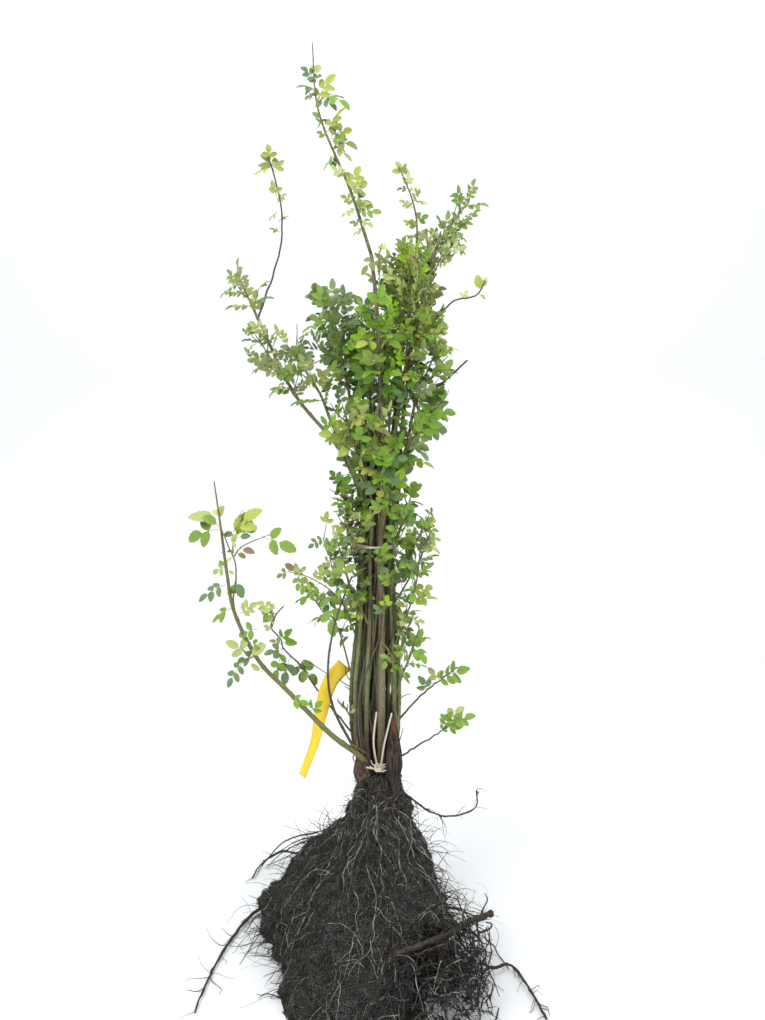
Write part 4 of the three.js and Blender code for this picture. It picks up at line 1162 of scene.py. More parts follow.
# %% Leaf pieces
TINT_SLOTS = {
    "young_leaf": ("pale", "sage", "fresh", "lime"), "deep_leaf": ("deep", "blue", "shade"),
    "leaf": ("leaf", "mid", "olive", "bronze", "withered"),
}
STANDS_FOR = {"leaf": "leaf", "fresh": "young_leaf", "deep": "deep_leaf"}  # the pieces that replace a slot's solids
slot_of_node = {entry["node"]: entry["material_slot"] for entry in frame["record"]["subparts"]}
slot_of_tint = {tint: slot for slot, tints in TINT_SLOTS.items() for tint in tints}
for tint in sorted({leaflet.tint for leaflet in leaflets}):
    chosen = [leaflet for leaflet in leaflets if leaflet.tint == tint]
    nodes = [name for name, slot in slot_of_node.items() if slot == STANDS_FOR.get(tint)]
    mesh = leaflet_mesh("leaves_" + tint, chosen)
    print(len(chosen), "leaflets:", end=" ")
    add_piece("leaves_" + tint, mesh, leaf_skins[tint], slot_of_tint[tint], nodes)

# %% [markdown]
# ## Prickles
# A rose's prickles sit at no fixed places on its bark and bend a little downwards. A cone is straight, so each one is
# a short tube that tapers nearly to a point.

# %% Prickles
PRICKLES = {"spacing": 15, "length": (1.6, 3.2), "girth": 0.75, "point": 0.06}


def prickles_on(rng, name):
    """Short thorns along one limb, bent a little downwards."""
    route, foot, tip = limbs[name]
    spikes = []
    for share in np.arange(0.02, 0.97, PRICKLES["spacing"] / length_of(route)) + rng.uniform(0, 0.02):
        spot, way = at_share(route, share)
        out = spread_from(way, rng.uniform(0, 2 * math.pi), math.pi / 2)
        girth = foot + (tip - foot) * share
        length = rng.uniform(*PRICKLES["length"])
        root = spot + out * girth * 0.7
        spikes.append(np.array([root, root + out * length * 0.6, root + out * length - way * length * 0.45]))
    return spikes


rng = np.random.default_rng(61)
spikes = [spike for name in limbs for spike in prickles_on(rng, name)]
add_tubes("prickles", spikes, PRICKLES["girth"], PRICKLES["point"], 4, brown_green_bark, "cane", grained=True)

# %% [markdown]
# ## Bare twigs
# Thin dry twigs stick out of the sheaf between its leaves. Nobody could tell them apart, so instead of routes they
# get short walks that keep their way and rise a little. The same walk makes the free roots.

# %% Bare twigs
BARE = {"count": 34, "heights": (182, 470), "reach": (9, 34), "steps": 8, "curl": 0.25, "sag": -0.05,
        "foot": 0.75, "tip": 0.4}
LOW, HIGH = (np.array(corner) / MM for corner in cad_box)
AIR = {"outside": 3, "lowest": 0.9}  # how far a walk may leave the solids' box, and its lowest height


def free_walk(rng, spot, way, steps, stride, curl=0.35, sag=0.12):
    """A twig or root that stands or hangs in the air, inside the bush's box and above the ground."""
    lowest = [LOW[0] - AIR["outside"], LOW[1] - AIR["outside"], AIR["lowest"]]
    path = [spot]
    bend = rng.normal(0, curl, 3)
    for _ in range(steps - 1):
        bend = bend * 0.75 + rng.normal(0, curl, 3) * 0.5
        way = unit(way + bend * 0.5 - UP * sag)
        spot = np.clip(spot + way * stride, lowest, HIGH + AIR["outside"])
        path.append(spot)
    return np.array(path)


outer_canes = [name for name, ring, *_ in CANES if ring == 1]
bare_twigs = []
for index in range(BARE["count"]):
    route = limbs[outer_canes[index % len(outer_canes)]][0]
    height = rng.uniform(*BARE["heights"])
    spot, way = at_share(route, share_at_height(route, height))
    outward = unit(np.array([spot[0] + 6, spot[1], 0.0]))
    heading = unit(outward + UP * rng.uniform(0.3, 1.4) + rng.normal(0, 0.3, 3))
    stride = rng.uniform(*BARE["reach"]) / BARE["steps"]
    bare_twigs.append(free_walk(rng, spot, heading, BARE["steps"], stride, BARE["curl"], BARE["sag"]))
add_tubes("bare_twigs", bare_twigs, BARE["foot"], BARE["tip"], 5, dark_bark, "old_bark", grained=True)

# %% [markdown]
# ## Twigs and leaf stalks
# Young twigs are green with brownish streaks, and leaf stalks are plain and paler. They were only noted down while
# the leaves grew, and become three joined pieces here.

# %% Twigs and leaf stalks
green_twig = Finish("green_twig", roughness=0.6)
twig_streaks = green_twig.noise(green_twig.place(), 300, 2.0)
green_twig.colour(green_twig.blend(twig_streaks.between(0.35, 0.65), paint(112, 118, 62), paint(92, 80, 58)))
leaf_stalk = Finish("leaf_stalk", base_color=paint(142, 152, 84), roughness=0.6)

add_tubes("twigs", *zip(*twigs), 6, green_twig.material, "cane")
add_tubes("dark_twigs", *zip(*dark_twigs), 7, dark_bark, "old_bark", grained=True)
add_tubes("leaf_stalks", stalks, 0.42, 0.26, 4, leaf_stalk.material, "leaf")

# %% [markdown]
# ## Root ball
# The ball is soil held by roots. Its shape comes from a copy of its solid, cut fine by subdividing, and pushed in
# and out by noise: large lumps first, then crumbs. Where only loose roots are left, it draws in to a hollow.
# Sculpting by hand would look no better under the roots that cover it.

# %% Root ball body
BALL = {
    "cuts": 3, "rounds": 2, "inset": 3.0, "lumps": ((24, 8.5), (9, 4.4), (3.4, 1.9)),  # size and height of each
    "dome": 24, "neck": (0, -24, 37), "shoulder": 150,  # how far soil heaps up between the canes, and where
    "core": (-15, -60), "hollows": (((104, -170, 18), 80, 92), ((-152, -70, 12), 50, 26), ((112, -72, 34), 48, 18)),
    "ragged": (0.8, 19),  # how uneven the hollows' edges are, and how wide their bays
    "ground": 0.5, "above": 0.6,  # what lies lower than `ground` stays flat, and the rest keeps `above` it
}


def lumpy(place):
    """How far the ball's surface moves out at a place, in millimetres."""
    push = sum(height * noise.noise(place / size + Vector((7, 3, size))) for size, height in BALL["lumps"])
    return push - BALL["inset"]


def hollowed(place):
    """The move towards the ball's core at a place, where only loose roots are left outside."""
    inward = Vector((*BALL["core"], place.z)) - place
    pull = sum(
        depth * math.exp(-2 * ((place - Vector(middle)).length / radius) ** 2)
        for middle, radius, depth in BALL["hollows"])
    share, bay = BALL["ragged"]
    pull *= 1 + share * noise.noise(place / bay)
    return inward.normalized() * min(pull, inward.length * 0.8)


def rough_ball():
    """The ball's mesh, flat below as its solid is, and a tree that finds places on its surface."""
    bm = bmesh.new()
    bm.from_mesh(frame["nodes"]["root_ball"].data)
    bmesh.ops.remove_doubles(bm, verts=bm.verts, dist=1e-6)
    for _ in range(BALL["rounds"]):
        bmesh.ops.subdivide_edges(bm, edges=bm.edges, cuts=BALL["cuts"], use_grid_fill=True)
        free = [v for v in bm.verts if v.co.z > 0.001]
        bmesh.ops.smooth_vert(bm, verts=free, factor=0.5, use_axis_x=True, use_axis_y=True, use_axis_z=True)
    bmesh.ops.recalc_face_normals(bm, faces=bm.faces)
    bm.normal_update()
    neck_x, neck_y, neck_radius = BALL["neck"]
    moves = []
    for vertex in bm.verts:
        place = vertex.co / MM
        from_neck = math.hypot(place.x - neck_x, place.y - neck_y) / neck_radius
        heap = BALL["dome"] * max(0.0, 1 - from_neck ** 2) if place.z > BALL["shoulder"] else 0.0
        lift = vertex.normal * lumpy(place) + Vector((0, 0, heap)) if place.z > BALL["ground"] else Vector()
        moves.append((lift + hollowed(place)) * MM)
    for vertex, move in zip(bm.verts, moves):
        on_ground = vertex.co.z <= BALL["ground"] * MM
        vertex.co += move
        if not on_ground:
            vertex.co.z = max(vertex.co.z, BALL["above"] * MM)
    tree = BVHTree.FromBMesh(bm)
    return mesh_of(bm, "root_ball_soil"), tree


ball_mesh, ball_surface = rough_ball()
print("root ball faces:", len(ball_mesh.polygons))

# %% [markdown]
# ## Soil
# Dry soil is grey and crumbles. Two greys mixed by fine noise give the crumbs, and wider noise gives darker earth.

# %% Soil
def soil_finish(name, dark, light, earth):
    """Crumbling soil of two greys, with patches of earth."""
    soil = Finish(name, roughness=0.95, specular_ior_level=0.12)
    grains = soil.noise(soil.place(), 820, 6.0)
    clods = soil.noise(soil.place(), 110, 3.0)
    mixed = soil.blend(grains.between(0.42, 0.66), paint(*dark), paint(*light))
    soil.colour(soil.blend(clods.between(0.48, 0.72) * 0.6, mixed, paint(*earth)))
    soil.bump(grains, 0.0016, 1.0)
    return soil.material


soil = soil_finish("soil", (26, 27, 25), (90, 91, 87), (45, 45, 40))
pale_soil = soil_finish("pale_soil", (52, 53, 51), (118, 119, 116), (72, 70, 66))
add_piece("root_ball_soil", ball_mesh, [soil], "soil", ["root_ball"])

# %% [markdown]
# ## Fine roots
# Thousands of fine roots mat the ball. Hair particles could draw them, but they are lost when the model is saved,
# so each root is a walk: short steps downwards over the ball's surface that stray from side to side, and then a
# thin tube. Others leave the surface and hang free. They lie in shades from near black to pale grey.

# %% Walks over the ball
# Where a walk starts: the greatest height, a power over 1 that puts more of them low, and how far off a throw begins
START = {"top": 176, "power": 1.2, "far": 260, "from": (-15, -45), "aim": (-5, -20)}


def on_ball(point, lift):
    """The nearest place on the ball's surface, lifted off it, and the way the surface faces there."""
    place, normal, _, _ = ball_surface.find_nearest(Vector(point) * MM)
    spot = np.array(place + normal * lift * MM) / MM
    spot[2] = max(spot[2], 0.8)
    return spot, np.array(normal)


def start_on_ball(rng):
    """A place on the ball, thrown at it from the side."""
    while True:
        turn = rng.uniform(0, 2 * math.pi)
        height = START["top"] * rng.uniform(0, 1) ** START["power"]
        far_x, far_y = START["from"]
        far = np.array([far_x + START["far"] * math.cos(turn), far_y + START["far"] * math.sin(turn), height])
        aim = np.array([*START["aim"], height * 0.9 + 4]) - far
        place, normal, _, _ = ball_surface.ray_cast(Vector(far) * MM, Vector(unit(aim)))
        if place is not None:
            return np.array(place) / MM, np.array(normal)


def walk_over_ball(rng, steps, stride, lift, pull, stray):
    """A path over the ball that mostly leads down, and strays from side to side."""
    spot, normal = start_on_ball(rng)
    way = unit(np.cross(normal, rng.normal(0, 1, 3)))
    path = []
    lift = lift * rng.uniform(0.1, 1.0)
    for step in range(steps):
        spot, normal = on_ball(spot, lift * (0.3 + abs(math.sin(step * 0.7 + spot[0]))))
        path.append(spot)
        way = way + rng.normal(0, stray, 3) * 0.6 - UP * pull
        way = square_to(normal, way)
        spot = spot + way * stride * rng.uniform(0.7, 1.2)
    return np.array(path)


walk = walk_over_ball(np.random.default_rng(0), 20, 4.0, 2.0, 0.3, 0.5)
print("a walk of 20 steps comes down", round(walk[0][2] - walk[-1][2]), "mm")

# %% [markdown]
# ## The mat of fine roots
# The mat has several shades. One mesh of each is made, the darkest with most roots, and last a few thick runners.

# %% The mat of fine roots
FIBRES = {  # how many, steps of each, length of a step, radius, height above the soil, colour, pull down, stray
    "fine_roots_dark": (3400, 9, 3.6, 0.38, 2.2, (55, 56, 53), 0.2, 1.1),
    "fine_roots_brown": (560, 12, 4.6, 0.42, 2.2, (58, 54, 48), 0.35, 0.8),
    "fine_roots_grey": (1500, 9, 3.4, 0.28, 2.6, (98, 99, 95), 0.22, 1.1),
    "fine_roots_pale": (250, 17, 6.0, 0.32, 3.2, (156, 156, 150), 0.55, 0.4),
}
RUNNERS = {"count": 26, "steps": 20, "stride": 6.5, "lift": 0.8, "pull": 0.4, "stray": 0.3,
           "girth": (1.0, 2.4), "colour": (52, 46, 40)}


def root_finish(name, colour):
    """Dull root skin, a little darker and lighter than its colour in patches."""
    skin = Finish(name, roughness=0.85, specular_ior_level=0.2)
    tone = skin.noise(skin.place(), 160, 2.0)
    base = np.array(colour)
    skin.colour(skin.blend(tone.between(0.3, 0.7), paint(*(base * 0.7)), paint(*(base * 1.15))))
    return skin.material


rng = np.random.default_rng(21)
for name, (count, steps, stride, girth, lift, colour, pull, stray) in FIBRES.items():
    paths = [walk_over_ball(rng, steps, stride, lift, pull, stray) for _ in range(count)]
    feet = girth * rng.uniform(0.55, 1.5, len(paths))
    add_tubes(name, paths, feet, feet * 0.5, 3, root_finish(name, colour), "root")

steps_of_runner = [RUNNERS[key] for key in ("steps", "stride", "lift", "pull", "stray")]
runners = [walk_over_ball(rng, *steps_of_runner) for _ in range(RUNNERS["count"])]
feet = rng.uniform(*RUNNERS["girth"], len(runners))
add_tubes("root_runners", runners, feet, feet * 0.35, 7, root_finish("runner_bark", RUNNERS["colour"]), "root")

# %% [markdown]
# ## Roots from the collar
# The longest roots start under the canes and lead straight down and out. They are walks too, but each keeps the way
# that it set out in, so that they spread like spokes.

# %% Roots from the collar
# Each kind: how many, steps, length of a step, radius, lift, colour, stray, and the heights between which they start
COLLAR_ROOTS = {
    "long_roots_pale": (18, 24, 6.2, 0.34, 3.0, (146, 145, 139), 0.24, (64, 160)),
    "long_roots_grey": (26, 22, 6.0, 0.42, 2.4, (92, 91, 86), 0.3, (64, 160)),
    "long_roots_brown": (20, 22, 6.0, 0.8, 1.2, (62, 55, 49), 0.3, (64, 160)),
    "collar_roots": (70, 8, 4.6, 0.95, 2.2, (78, 67, 59), 0.55, (140, 182)),
}
COLLAR = {"middle": (-4.0, -12.0, 0.0), "radius": 34, "fewest_steps": 4, "lowest": 3}


def walk_from_collar(rng, steps, stride, lift, stray, heights):
    """A path that starts under the canes and leads straight down and out over the ball."""
    turn = rng.uniform(0, 2 * math.pi)
    outward = np.array([math.cos(turn), math.sin(turn), 0.0])
    spot = np.array(COLLAR["middle"]) + outward * COLLAR["radius"] + UP * rng.uniform(*heights)
    way = outward - UP
    path = []
    for _ in range(steps):
        spot, normal = on_ball(spot, lift * rng.uniform(0.4, 1.0))
        path.append(spot)
        way = unit(square_to(normal, way + rng.normal(0, stray, 3) + outward * 0.12 - UP * 0.12))
        spot = spot + way * stride * rng.uniform(0.8, 1.15)
        if spot[2] < COLLAR["lowest"]:
            break
    return np.array(path)


for name, (count, steps, stride, girth, lift, colour, stray, heights) in COLLAR_ROOTS.items():
    paths = [walk_from_collar(rng, steps, stride, lift, stray, heights) for _ in range(count)]
    paths = [evenly(path, steps) for path in paths if len(path) >= COLLAR["fewest_steps"]]
    feet = girth * rng.uniform(0.6, 1.5, len(paths))
    add_tubes(name, paths, feet, feet * 0.45, 5, root_finish(name, colour), "root")

# %% [markdown]
# ## Free and hanging roots
# Wisps of roots stand off the ball at its sides and its back, single ones all over it, and a loose web hangs in the
# hollow. All are free walks. The free ones are only noted down here, because the thick roots add rootlets to them.

# %% Free and hanging roots
FREE_ROOTS = {"count": 760, "steps": 12, "stride": (1.2, 5.0), "girth": 0.42, "high": 110, "shorter": 0.45}
# Wisps that leave the ball: where, which way, how many, and the longest step of each
WISPS = [
    ((-74, 0, 100), (-0.85, 0, -0.3), 26, 6.0), ((-120, -60, 60), (-1, -0.2, -0.1), 18, 4.2),
    ((-132, -74, 22), (-1, -0.2, 0.1), 40, 5.0), ((-104, -110, 14), (-1, -0.4, 0.0), 22, 4.0),
    ((90, -70, 46), (1, -0.1, 0.15), 30, 6.0), ((78, -40, 76), (1, -0.1, 0.2), 14, 3.6),
    ((96, -110, 14), (1, -0.5, 0.1), 26, 5.6), ((-20, 90, 50), (0, 1, 0), 24, 5.0),
]
free_paths = []
for place, way, count, stride in WISPS:
    for _ in range(count):
        spot, _ = on_ball(np.array(place) + rng.normal(0, 13, 3), -1)
        heading = unit(np.array(way) + rng.normal(0, 0.35, 3))
        free_paths.append(free_walk(rng, spot, heading, FREE_ROOTS["steps"], rng.uniform(0.35, 1) * stride, 0.3, 0.1))
for _ in range(FREE_ROOTS["count"]):
    spot, normal = start_on_ball(rng)
    stride = rng.uniform(*FREE_ROOTS["stride"]) * (FREE_ROOTS["shorter"] if spot[2] > FREE_ROOTS["high"] else 1)
    free_paths.append(free_walk(rng, spot, unit(normal + rng.normal(0, 0.6, 3)), FREE_ROOTS["steps"], stride))

# Where the ball is hollow, loose roots hang across the gap in three shades: how many, radius, colour
HANGING = {
    "hanging_roots_dark": (420, 0.52, (44, 43, 41)),
    "hanging_roots_brown": (70, 0.72, (66, 57, 51)),
    "hanging_roots_pale": (90, 0.36, (140, 138, 132)),
}
HANGING_STEPS = 16
GAP = {"x": (4, 106), "y": (-196, -92), "z": (3, 62), "furthest": 120}
for name, (count, girth, colour) in HANGING.items():
    paths = []
    while len(paths) < count:
        spot = np.array([rng.uniform(*GAP["x"]), rng.uniform(*GAP["y"]), rng.uniform(*GAP["z"])])
        heading = unit(rng.normal(0, 1, 3))
        path = free_walk(rng, spot, heading, HANGING_STEPS, rng.uniform(1.2, 4.6), rng.uniform(0.3, 0.8), 0.06)
        if path[:, 0].max() < GAP["furthest"]:
            paths.append(path)
    feet = girth * rng.uniform(0.4, 1.9, count) ** 1.3
    add_tubes(name, paths, feet, feet * 0.4, 4, root_finish(name, colour), "root")

# %% [markdown]
# ## Soil crumbs
# Loose crumbs cling to the roots, and clods of them hang in the hollow's web. A particle system would be lost when
# the model is saved, so one small ball is repeated in an array, with each copy dented in its own way.

# %% Soil crumbs
CRUMBS = {"soil_crumbs": (6400, (0.7, 2.6), soil), "soil_crumbs_pale": (4200, (0.5, 1.5), pale_soil)}
# Clods: how many of each kind, crumbs in one, how wide they lie, and the shares of the gap's x, y and z they keep to
CLODS = {"count": 46, "crumbs": 14, "spread": 3.4, "keep": (0.9, 1.0, 0.68)}
bm = bmesh.new()
bmesh.ops.create_icosphere(bm, subdivisions=1, radius=1)
crumb = np.array([v.co for v in bm.verts])
crumb_faces = np.array([[v.index for v in face.verts] for face in bm.faces])
bm.free()


def add_crumbs(name, rng, count, size, material):
    """Lumps of soil strewn over the ball, as one joined piece."""
    spots = np.array([start_on_ball(rng)[0] for _ in range(count)])
    for _ in range(CLODS["count"]):
        middle = [rng.uniform(*GAP[axis]) * keep for axis, keep in zip("xyz", CLODS["keep"])]
        chosen = rng.integers(0, count, CLODS["crumbs"])
        spots[chosen] = middle + rng.normal(0, CLODS["spread"], (CLODS["crumbs"], 3))
    shapes = crumb * rng.uniform(*size, (count, 1, 1)) * rng.uniform(0.6, 1.3, (count, len(crumb), 1))
    vertices = (spots[:, None] + shapes).reshape(-1, 3)
    vertices[:, 2] = np.maximum(vertices[:, 2], GROUND_GAP)
    faces = (np.arange(count)[:, None, None] * len(crumb) + crumb_faces).reshape(-1, 3)
    add_piece(name, mesh_from_arrays(name, vertices, [faces]), [material], "soil", smooth=False)


rng = np.random.default_rng(8)
for name, (count, size, material) in CRUMBS.items():
    add_crumbs(name, rng, count, size, material)

# %% [markdown]
# ## Thick loose roots
# A few roots reach out past the ball, and one on the right is snapped off. Each follows the route of its solid,
# with lumps along it, and carries rootlets that walk away from it freely.

# %% Bark of the roots
root_bark = Finish("root_bark", roughness=0.9, specular_ior_level=0.2)
root_streaks = root_bark.noise(root_bark.grain((1, 1, 0.25)), 1300, 4.0)
root_bark.colour(root_bark.blend(root_streaks.between(0.35, 0.68), paint(42, 37, 34), paint(84, 74, 67)))
root_bark.bump(root_streaks, 0.0008, 1.0)


def root_relief(seed):
    """Knots along a root, and three flat ridges round it."""
    phase = np.random.default_rng(seed).uniform(0, 6, 3)

    def relief(turn, length):
        knots = 0.22 * np.sin(length * 0.31 + phase[0]) * np.sin(length * 0.083 + phase[1])
        return 1 + knots + 0.1 * np.sin(3 * turn + length * 0.06 + phase[2])

    return relief


# %% [markdown]
# ## Side roots
# Thinner roots branch off the broken one or leave the ball at its upper left. They could be bent bars as well, but
# at their size no relief shows, so plain tubes are enough.

# %% Side roots
SIDE_ROOTS = [  # radius at the foot, route
    (1.3, [[51, -60, 47], [58, -60, 43], [78, -60, 39], [92, -60, 34], [106, -60, 27]]),
    (1.0, [[106, -56, 27], [110, -56, 38], [114, -56, 48], [111, -56, 55]]),
    (0.9, [[108, -80, 20], [112, -80, 15], [119, -80, 9], [122, -83, 3], [127, -92, 1.4], [132, -104, 1.2]]),
    (0.9, [[93, -80, 33], [95, -80, 26], [101, -80, 19], [104, -80, 7], [107, -80, -5]]),
    (0.9, [[77, -86, 34], [76, -86, 25], [79, -86, 16], [78, -86, 3]]),
    (1.1, [[-86, 50, 67], [-95, 50, 65], [-111, 50, 62], [-131, 50, 53], [-148, 50, 35], [-164, 50, 14]]),
    (0.8, [[-83, 40, 60], [-100, 40, 61], [-120, 40, 52], [-138, 40, 39], [-151, 40, 24]]),
    (0.7, [[-83, 60, 54], [-111, 60, 51], [-135, 60, 37], [-152, 60, 27], [-169, 60, 2]]),
    (0.7, [[-92, 30, 53], [-111, 30, 52], [-129, 30, 43], [-146, 30, 35]]),
]
side_paths = [evenly(smooth_route(points, 24), 24) for _, points in SIDE_ROOTS]
side_feet = np.array([girth for girth, _ in SIDE_ROOTS])
add_tubes("side_roots", side_paths, side_feet, side_feet * 0.5, 7, root_bark.material, "root")

# %% [markdown]
# ## Thick roots and their rootlets
# The routes are those of the solids. A root that only follows its smooth route looks drawn, so a small wobble is
# added, which fades out at both ends.

# %% Thick roots and their rootlets
# Each root: radius at its foot and at its tip, and its route
ROOTS = [
    ("root_left_long", 2.2, 0.9, [
        [-112, -8, 26], [-132, -6, 14], [-146, -6, 7], [-160, -24, 5], [-180, -100, 3.2], [-183, -172, 3]]),
    ("root_left_upper", 1.7, 0.9, [[-86, 70, 34], [-112, 84, 18], [-142, 96, 12], [-166, 72, 5], [-172, 54, 3]]),
    ("root_right_broken", 2.4, 3.5, [
        [7, -168, 24], [5, -160, 42], [16, -158, 54], [30, -154, 58],
        [49, -142, 58], [65, -124, 51], [90, -91, 42], [118, -57, 32]]),
    ("root_right_front", 1.8, 1.1, [
        [66, -104, 26], [90, -110, 16], [112, -112, 8], [132, -104, 3.4], [150, -140, 3], [160, -176, 3]]),
    ("root_right_dry", 1.3, 0.7, [
        [12, -10, 156], [28, -12, 145], [54, -16, 128], [79, -16, 122], [107, -14, 136], [106, -14, 154]]),
]
WOBBLE = 0.28
ROOTLETS = {"each": 14, "stride": (1.2, 3.6)}
rng = np.random.default_rng(33)
for index, (name, foot, tip, points) in enumerate(ROOTS):
    route = smooth_route(points, 60)
    wobble = np.cumsum(rng.normal(0, WOBBLE, route.shape), axis=0)
    wobble -= np.linspace(0, 1, len(route))[:, None] * wobble[-1]
    route = route + wobble
    route[:, 2] = np.maximum(route[:, 2], foot + 0.3)
    girth_at = lambda t: foot + (tip - foot) * t
    add_piece(name, bent_bar(name, route, girth_at, 10, root_relief(index)), [root_bark.material], "root", [name])
    for _ in range(ROOTLETS["each"]):
        spot, way = at_share(route, rng.uniform(0.1, 1))
        side = spread_from(way, rng.uniform(0, 6.28), rng.uniform(0.5, 1.3))
        free_paths.append(free_walk(rng, spot, side, FREE_ROOTS["steps"], rng.uniform(*ROOTLETS["stride"])))
feet = FREE_ROOTS["girth"] * rng.uniform(0.5, 1.6, len(free_paths))
add_tubes("free_roots", free_paths, feet, feet * 0.35, 3, root_bark.material, "root")

# %% [markdown]
# ## Old wood at the collar
# At the right of the sheaf's foot stands a dark pointed stump, fibrous and flaking, with a red streak at its top. A
# lower lump of old wood stands at the left, between the bough and the knot. Both are bent bars, which keep the fibres
# running along them, with deep ridges.

# %% Old wood at the collar
STUMP = {"path": [[11, -29, 158], [13, -33, 198], [13.5, -32, 256]], "girth": [5.5, 7.2, 8.9, 8.6, 6.0, 3.4, 0.8]}
COLLAR_WOOD = {"path": [[-15, -14, 146], [-21, -16, 170], [-23, -17, 202]], "girth": [8, 9.6, 11, 11.6, 9.4, 3]}


def fibrous_skin(name, roughness, drawn, fineness, dark, light):
    """Dry wood in two tones with a deep grain: the finish and its colour, for more to be laid over it."""
    skin = Finish(name, roughness=roughness, specular_ior_level=0.2)
    fibres = skin.noise(skin.grain((1, 1, drawn)), fineness, 5.0)
    tone = skin.blend(fibres.between(0.36, 0.66), paint(*dark), paint(*light))
    skin.colour(tone)
    skin.bump(fibres, 0.0016, 1.0)
    return skin, tone


def wood_relief(turn, length):
    """Deep, slowly twisting ridges."""
    ridges = 0.09 * np.sin(5 * turn + 0.03 * length) + 0.06 * np.sin(11 * turn - 0.07 * length)
    return 1 + ridges + 0.04 * np.sin(length * 0.2 + 2 * turn)


def add_old_wood(name, form, rings, sides, skin, nodes=()):
    """A bent bar whose radii are given at even steps along it."""
    steps = np.linspace(0, 1, len(form["girth"]))
    girth_at = lambda t: np.interp(t, steps, form["girth"])
    mesh = bent_bar(name, smooth_route(form["path"], rings), girth_at, sides, wood_relief)
    add_piece(name, mesh, [skin.material], "old_bark", nodes)


stump_bark, stump_tone = fibrous_skin("stump_bark", 0.88, 0.1, 520, (32, 28, 26), (76, 64, 56))
stump_height = stump_bark.node("SeparateXYZ", {}, {0: stump_bark.place()}, output=2)
red_top = stump_height.between(0.22, 0.24) * stump_bark.noise(stump_bark.grain((1, 1, 0.1)), 260).between(0.4, 0.6)
stump_bark.colour(stump_bark.blend(red_top * 0.7, stump_tone, paint(118, 66, 50)))
collar_bark, _ = fibrous_skin("collar_bark", 0.9, 0.2, 700, (46, 38, 34), (104, 86, 73))
add_old_wood("old_stump", STUMP, 60, 28, stump_bark, ["old_stump"])
add_old_wood("collar_wood", COLLAR_WOOD, 40, 22, collar_bark)

# %% [markdown]
# ## Ties
# Two loops of pale twine hold the sheaf. Twine is two plies laid round each other, so each loop is a pair of thin
# tubes that wind about one ring. The lower tie ends in a knot with two long ends that stand up in front.

# %% Ties
TIE = {"ply": 0.62, "lay": 5.5, "points": 160}  # a ply's radius, and the length in which it winds round once
UPPER_RING, FOOT_RING = (UPPER_TIE, -3, 23.6), (187, -8, 27.6)  # height, middle, radius
KNOT = {
    "place": [-4, -30, 189], "loops": 5, "width": 4.2, "depth": 2.4, "height": 3.0, "tilt": 0.9,
    "frays": 9, "fray_steps": 9, "fray_stride": 1.5,
    "ends": [[[-6, -29, 189], [-9, -38, 222], [-5, -40, 258]], [[-2, -29, 189], [3, -43, 222], [12, -44, 258]]],
}
twine = Finish("twine", roughness=0.85, specular_ior_level=0.2)
twine_hairs = twine.noise(twine.place(), 900)
twine.colour(twine.blend(twine_hairs.between(0.35, 0.65), paint(226, 220, 202), paint(196, 184, 158)))


def plies(route):
    """Two tubes that wind round a route."""
    _, across, over = frames_along(route)
    turns = np.linspace(0, 2 * math.pi * length_of(route) / TIE["lay"], len(route))
    swing = across * np.cos(turns)[:, None] + over * np.sin(turns)[:, None]
    return [route + swing * TIE["ply"], route - swing * TIE["ply"]]


def ring_route(height, middle, radius, slant):
    """A slanting ring round the sheaf."""
    turn = np.linspace(0, 2 * math.pi, TIE["points"])
    return np.stack([middle + radius * np.cos(turn), radius * np.sin(turn), height - slant * np.cos(turn)], axis=1)


def add_strands(name, strands, tip):
    add_tubes(name, strands, TIE["ply"], TIE["ply"] * tip, 6, twine.material, "twine", [name])


add_strands("tie_upper", [ply for slant in (2.4, -0.6) for ply in plies(ring_route(*UPPER_RING, slant))], 1)

# %% [markdown]
# ## The knot
# The lower tie is knotted in front. A real knot's path is hard to draw and hardly shows, so a few small tilted loops
# stand for it, with short frays between them.

# %% The knot
strands = plies(ring_route(*FOOT_RING, 0.8))
for points in KNOT["ends"]:
    strands += plies(smooth_route(points, 120))
rng = np.random.default_rng(12)
turn = np.linspace(0, 2 * math.pi, 60)
for _ in range(KNOT["loops"]):
    sway, lag = rng.uniform(-KNOT["tilt"], KNOT["tilt"], 2)
    depth = KNOT["depth"] * np.sin(turn) + sway * np.cos(turn)
    loop = np.stack([KNOT["width"] * np.cos(turn), depth, KNOT["height"] * np.sin(turn + lag)], axis=1)
    strands += plies(loop + KNOT["place"])
for _ in range(KNOT["frays"]):
    start = np.array(KNOT["place"]) + rng.normal(0, 1.5, 3)
    way = unit(rng.normal(0, 1, 3) * [1, 0.5, 0.6] - [0, 0.5, 0])
    strands.append(free_walk(rng, start, way, KNOT["fray_steps"], KNOT["fray_stride"], 0.5, 0.0))
add_strands("tie_foot", strands, 0.9)

# %% [markdown]
# ## Label
# The label is a strip of yellow film that hangs from the sheaf, turns as it falls and is folded near its top.
# A flat grid is carried along its route and then given its thin wall by the solidify operator.

# %% Label
LABEL = {
    "width": (19, 11), "turn": (-0.25, 0.85), "steps": 60, "across": 8, "thick": 0.3,
    "crease": (2.2, 0.24, 0.05), "wave": 1.2, "cup": 3.0,  # the crease's height, place and width along the strip
    "path": [[-43, 8, 296], [-60, 4, 277], [-72, -2, 240], [-80, -4, 206], [-95, -6, 168]],
}
film = Finish("yellow_film", roughness=0.34, coat_weight=0.25)
film_waves = film.noise(film.place((1, 1, 0.4)), 60, 2.0)
film.colour(film.blend(film_waves.between(0.35, 0.7), paint(234, 202, 40), paint(214, 178, 24)))
film.bump(film_waves, 0.002, 0.35)


def from_to(ends, share):
    return ends[0] + (ends[1] - ends[0]) * share


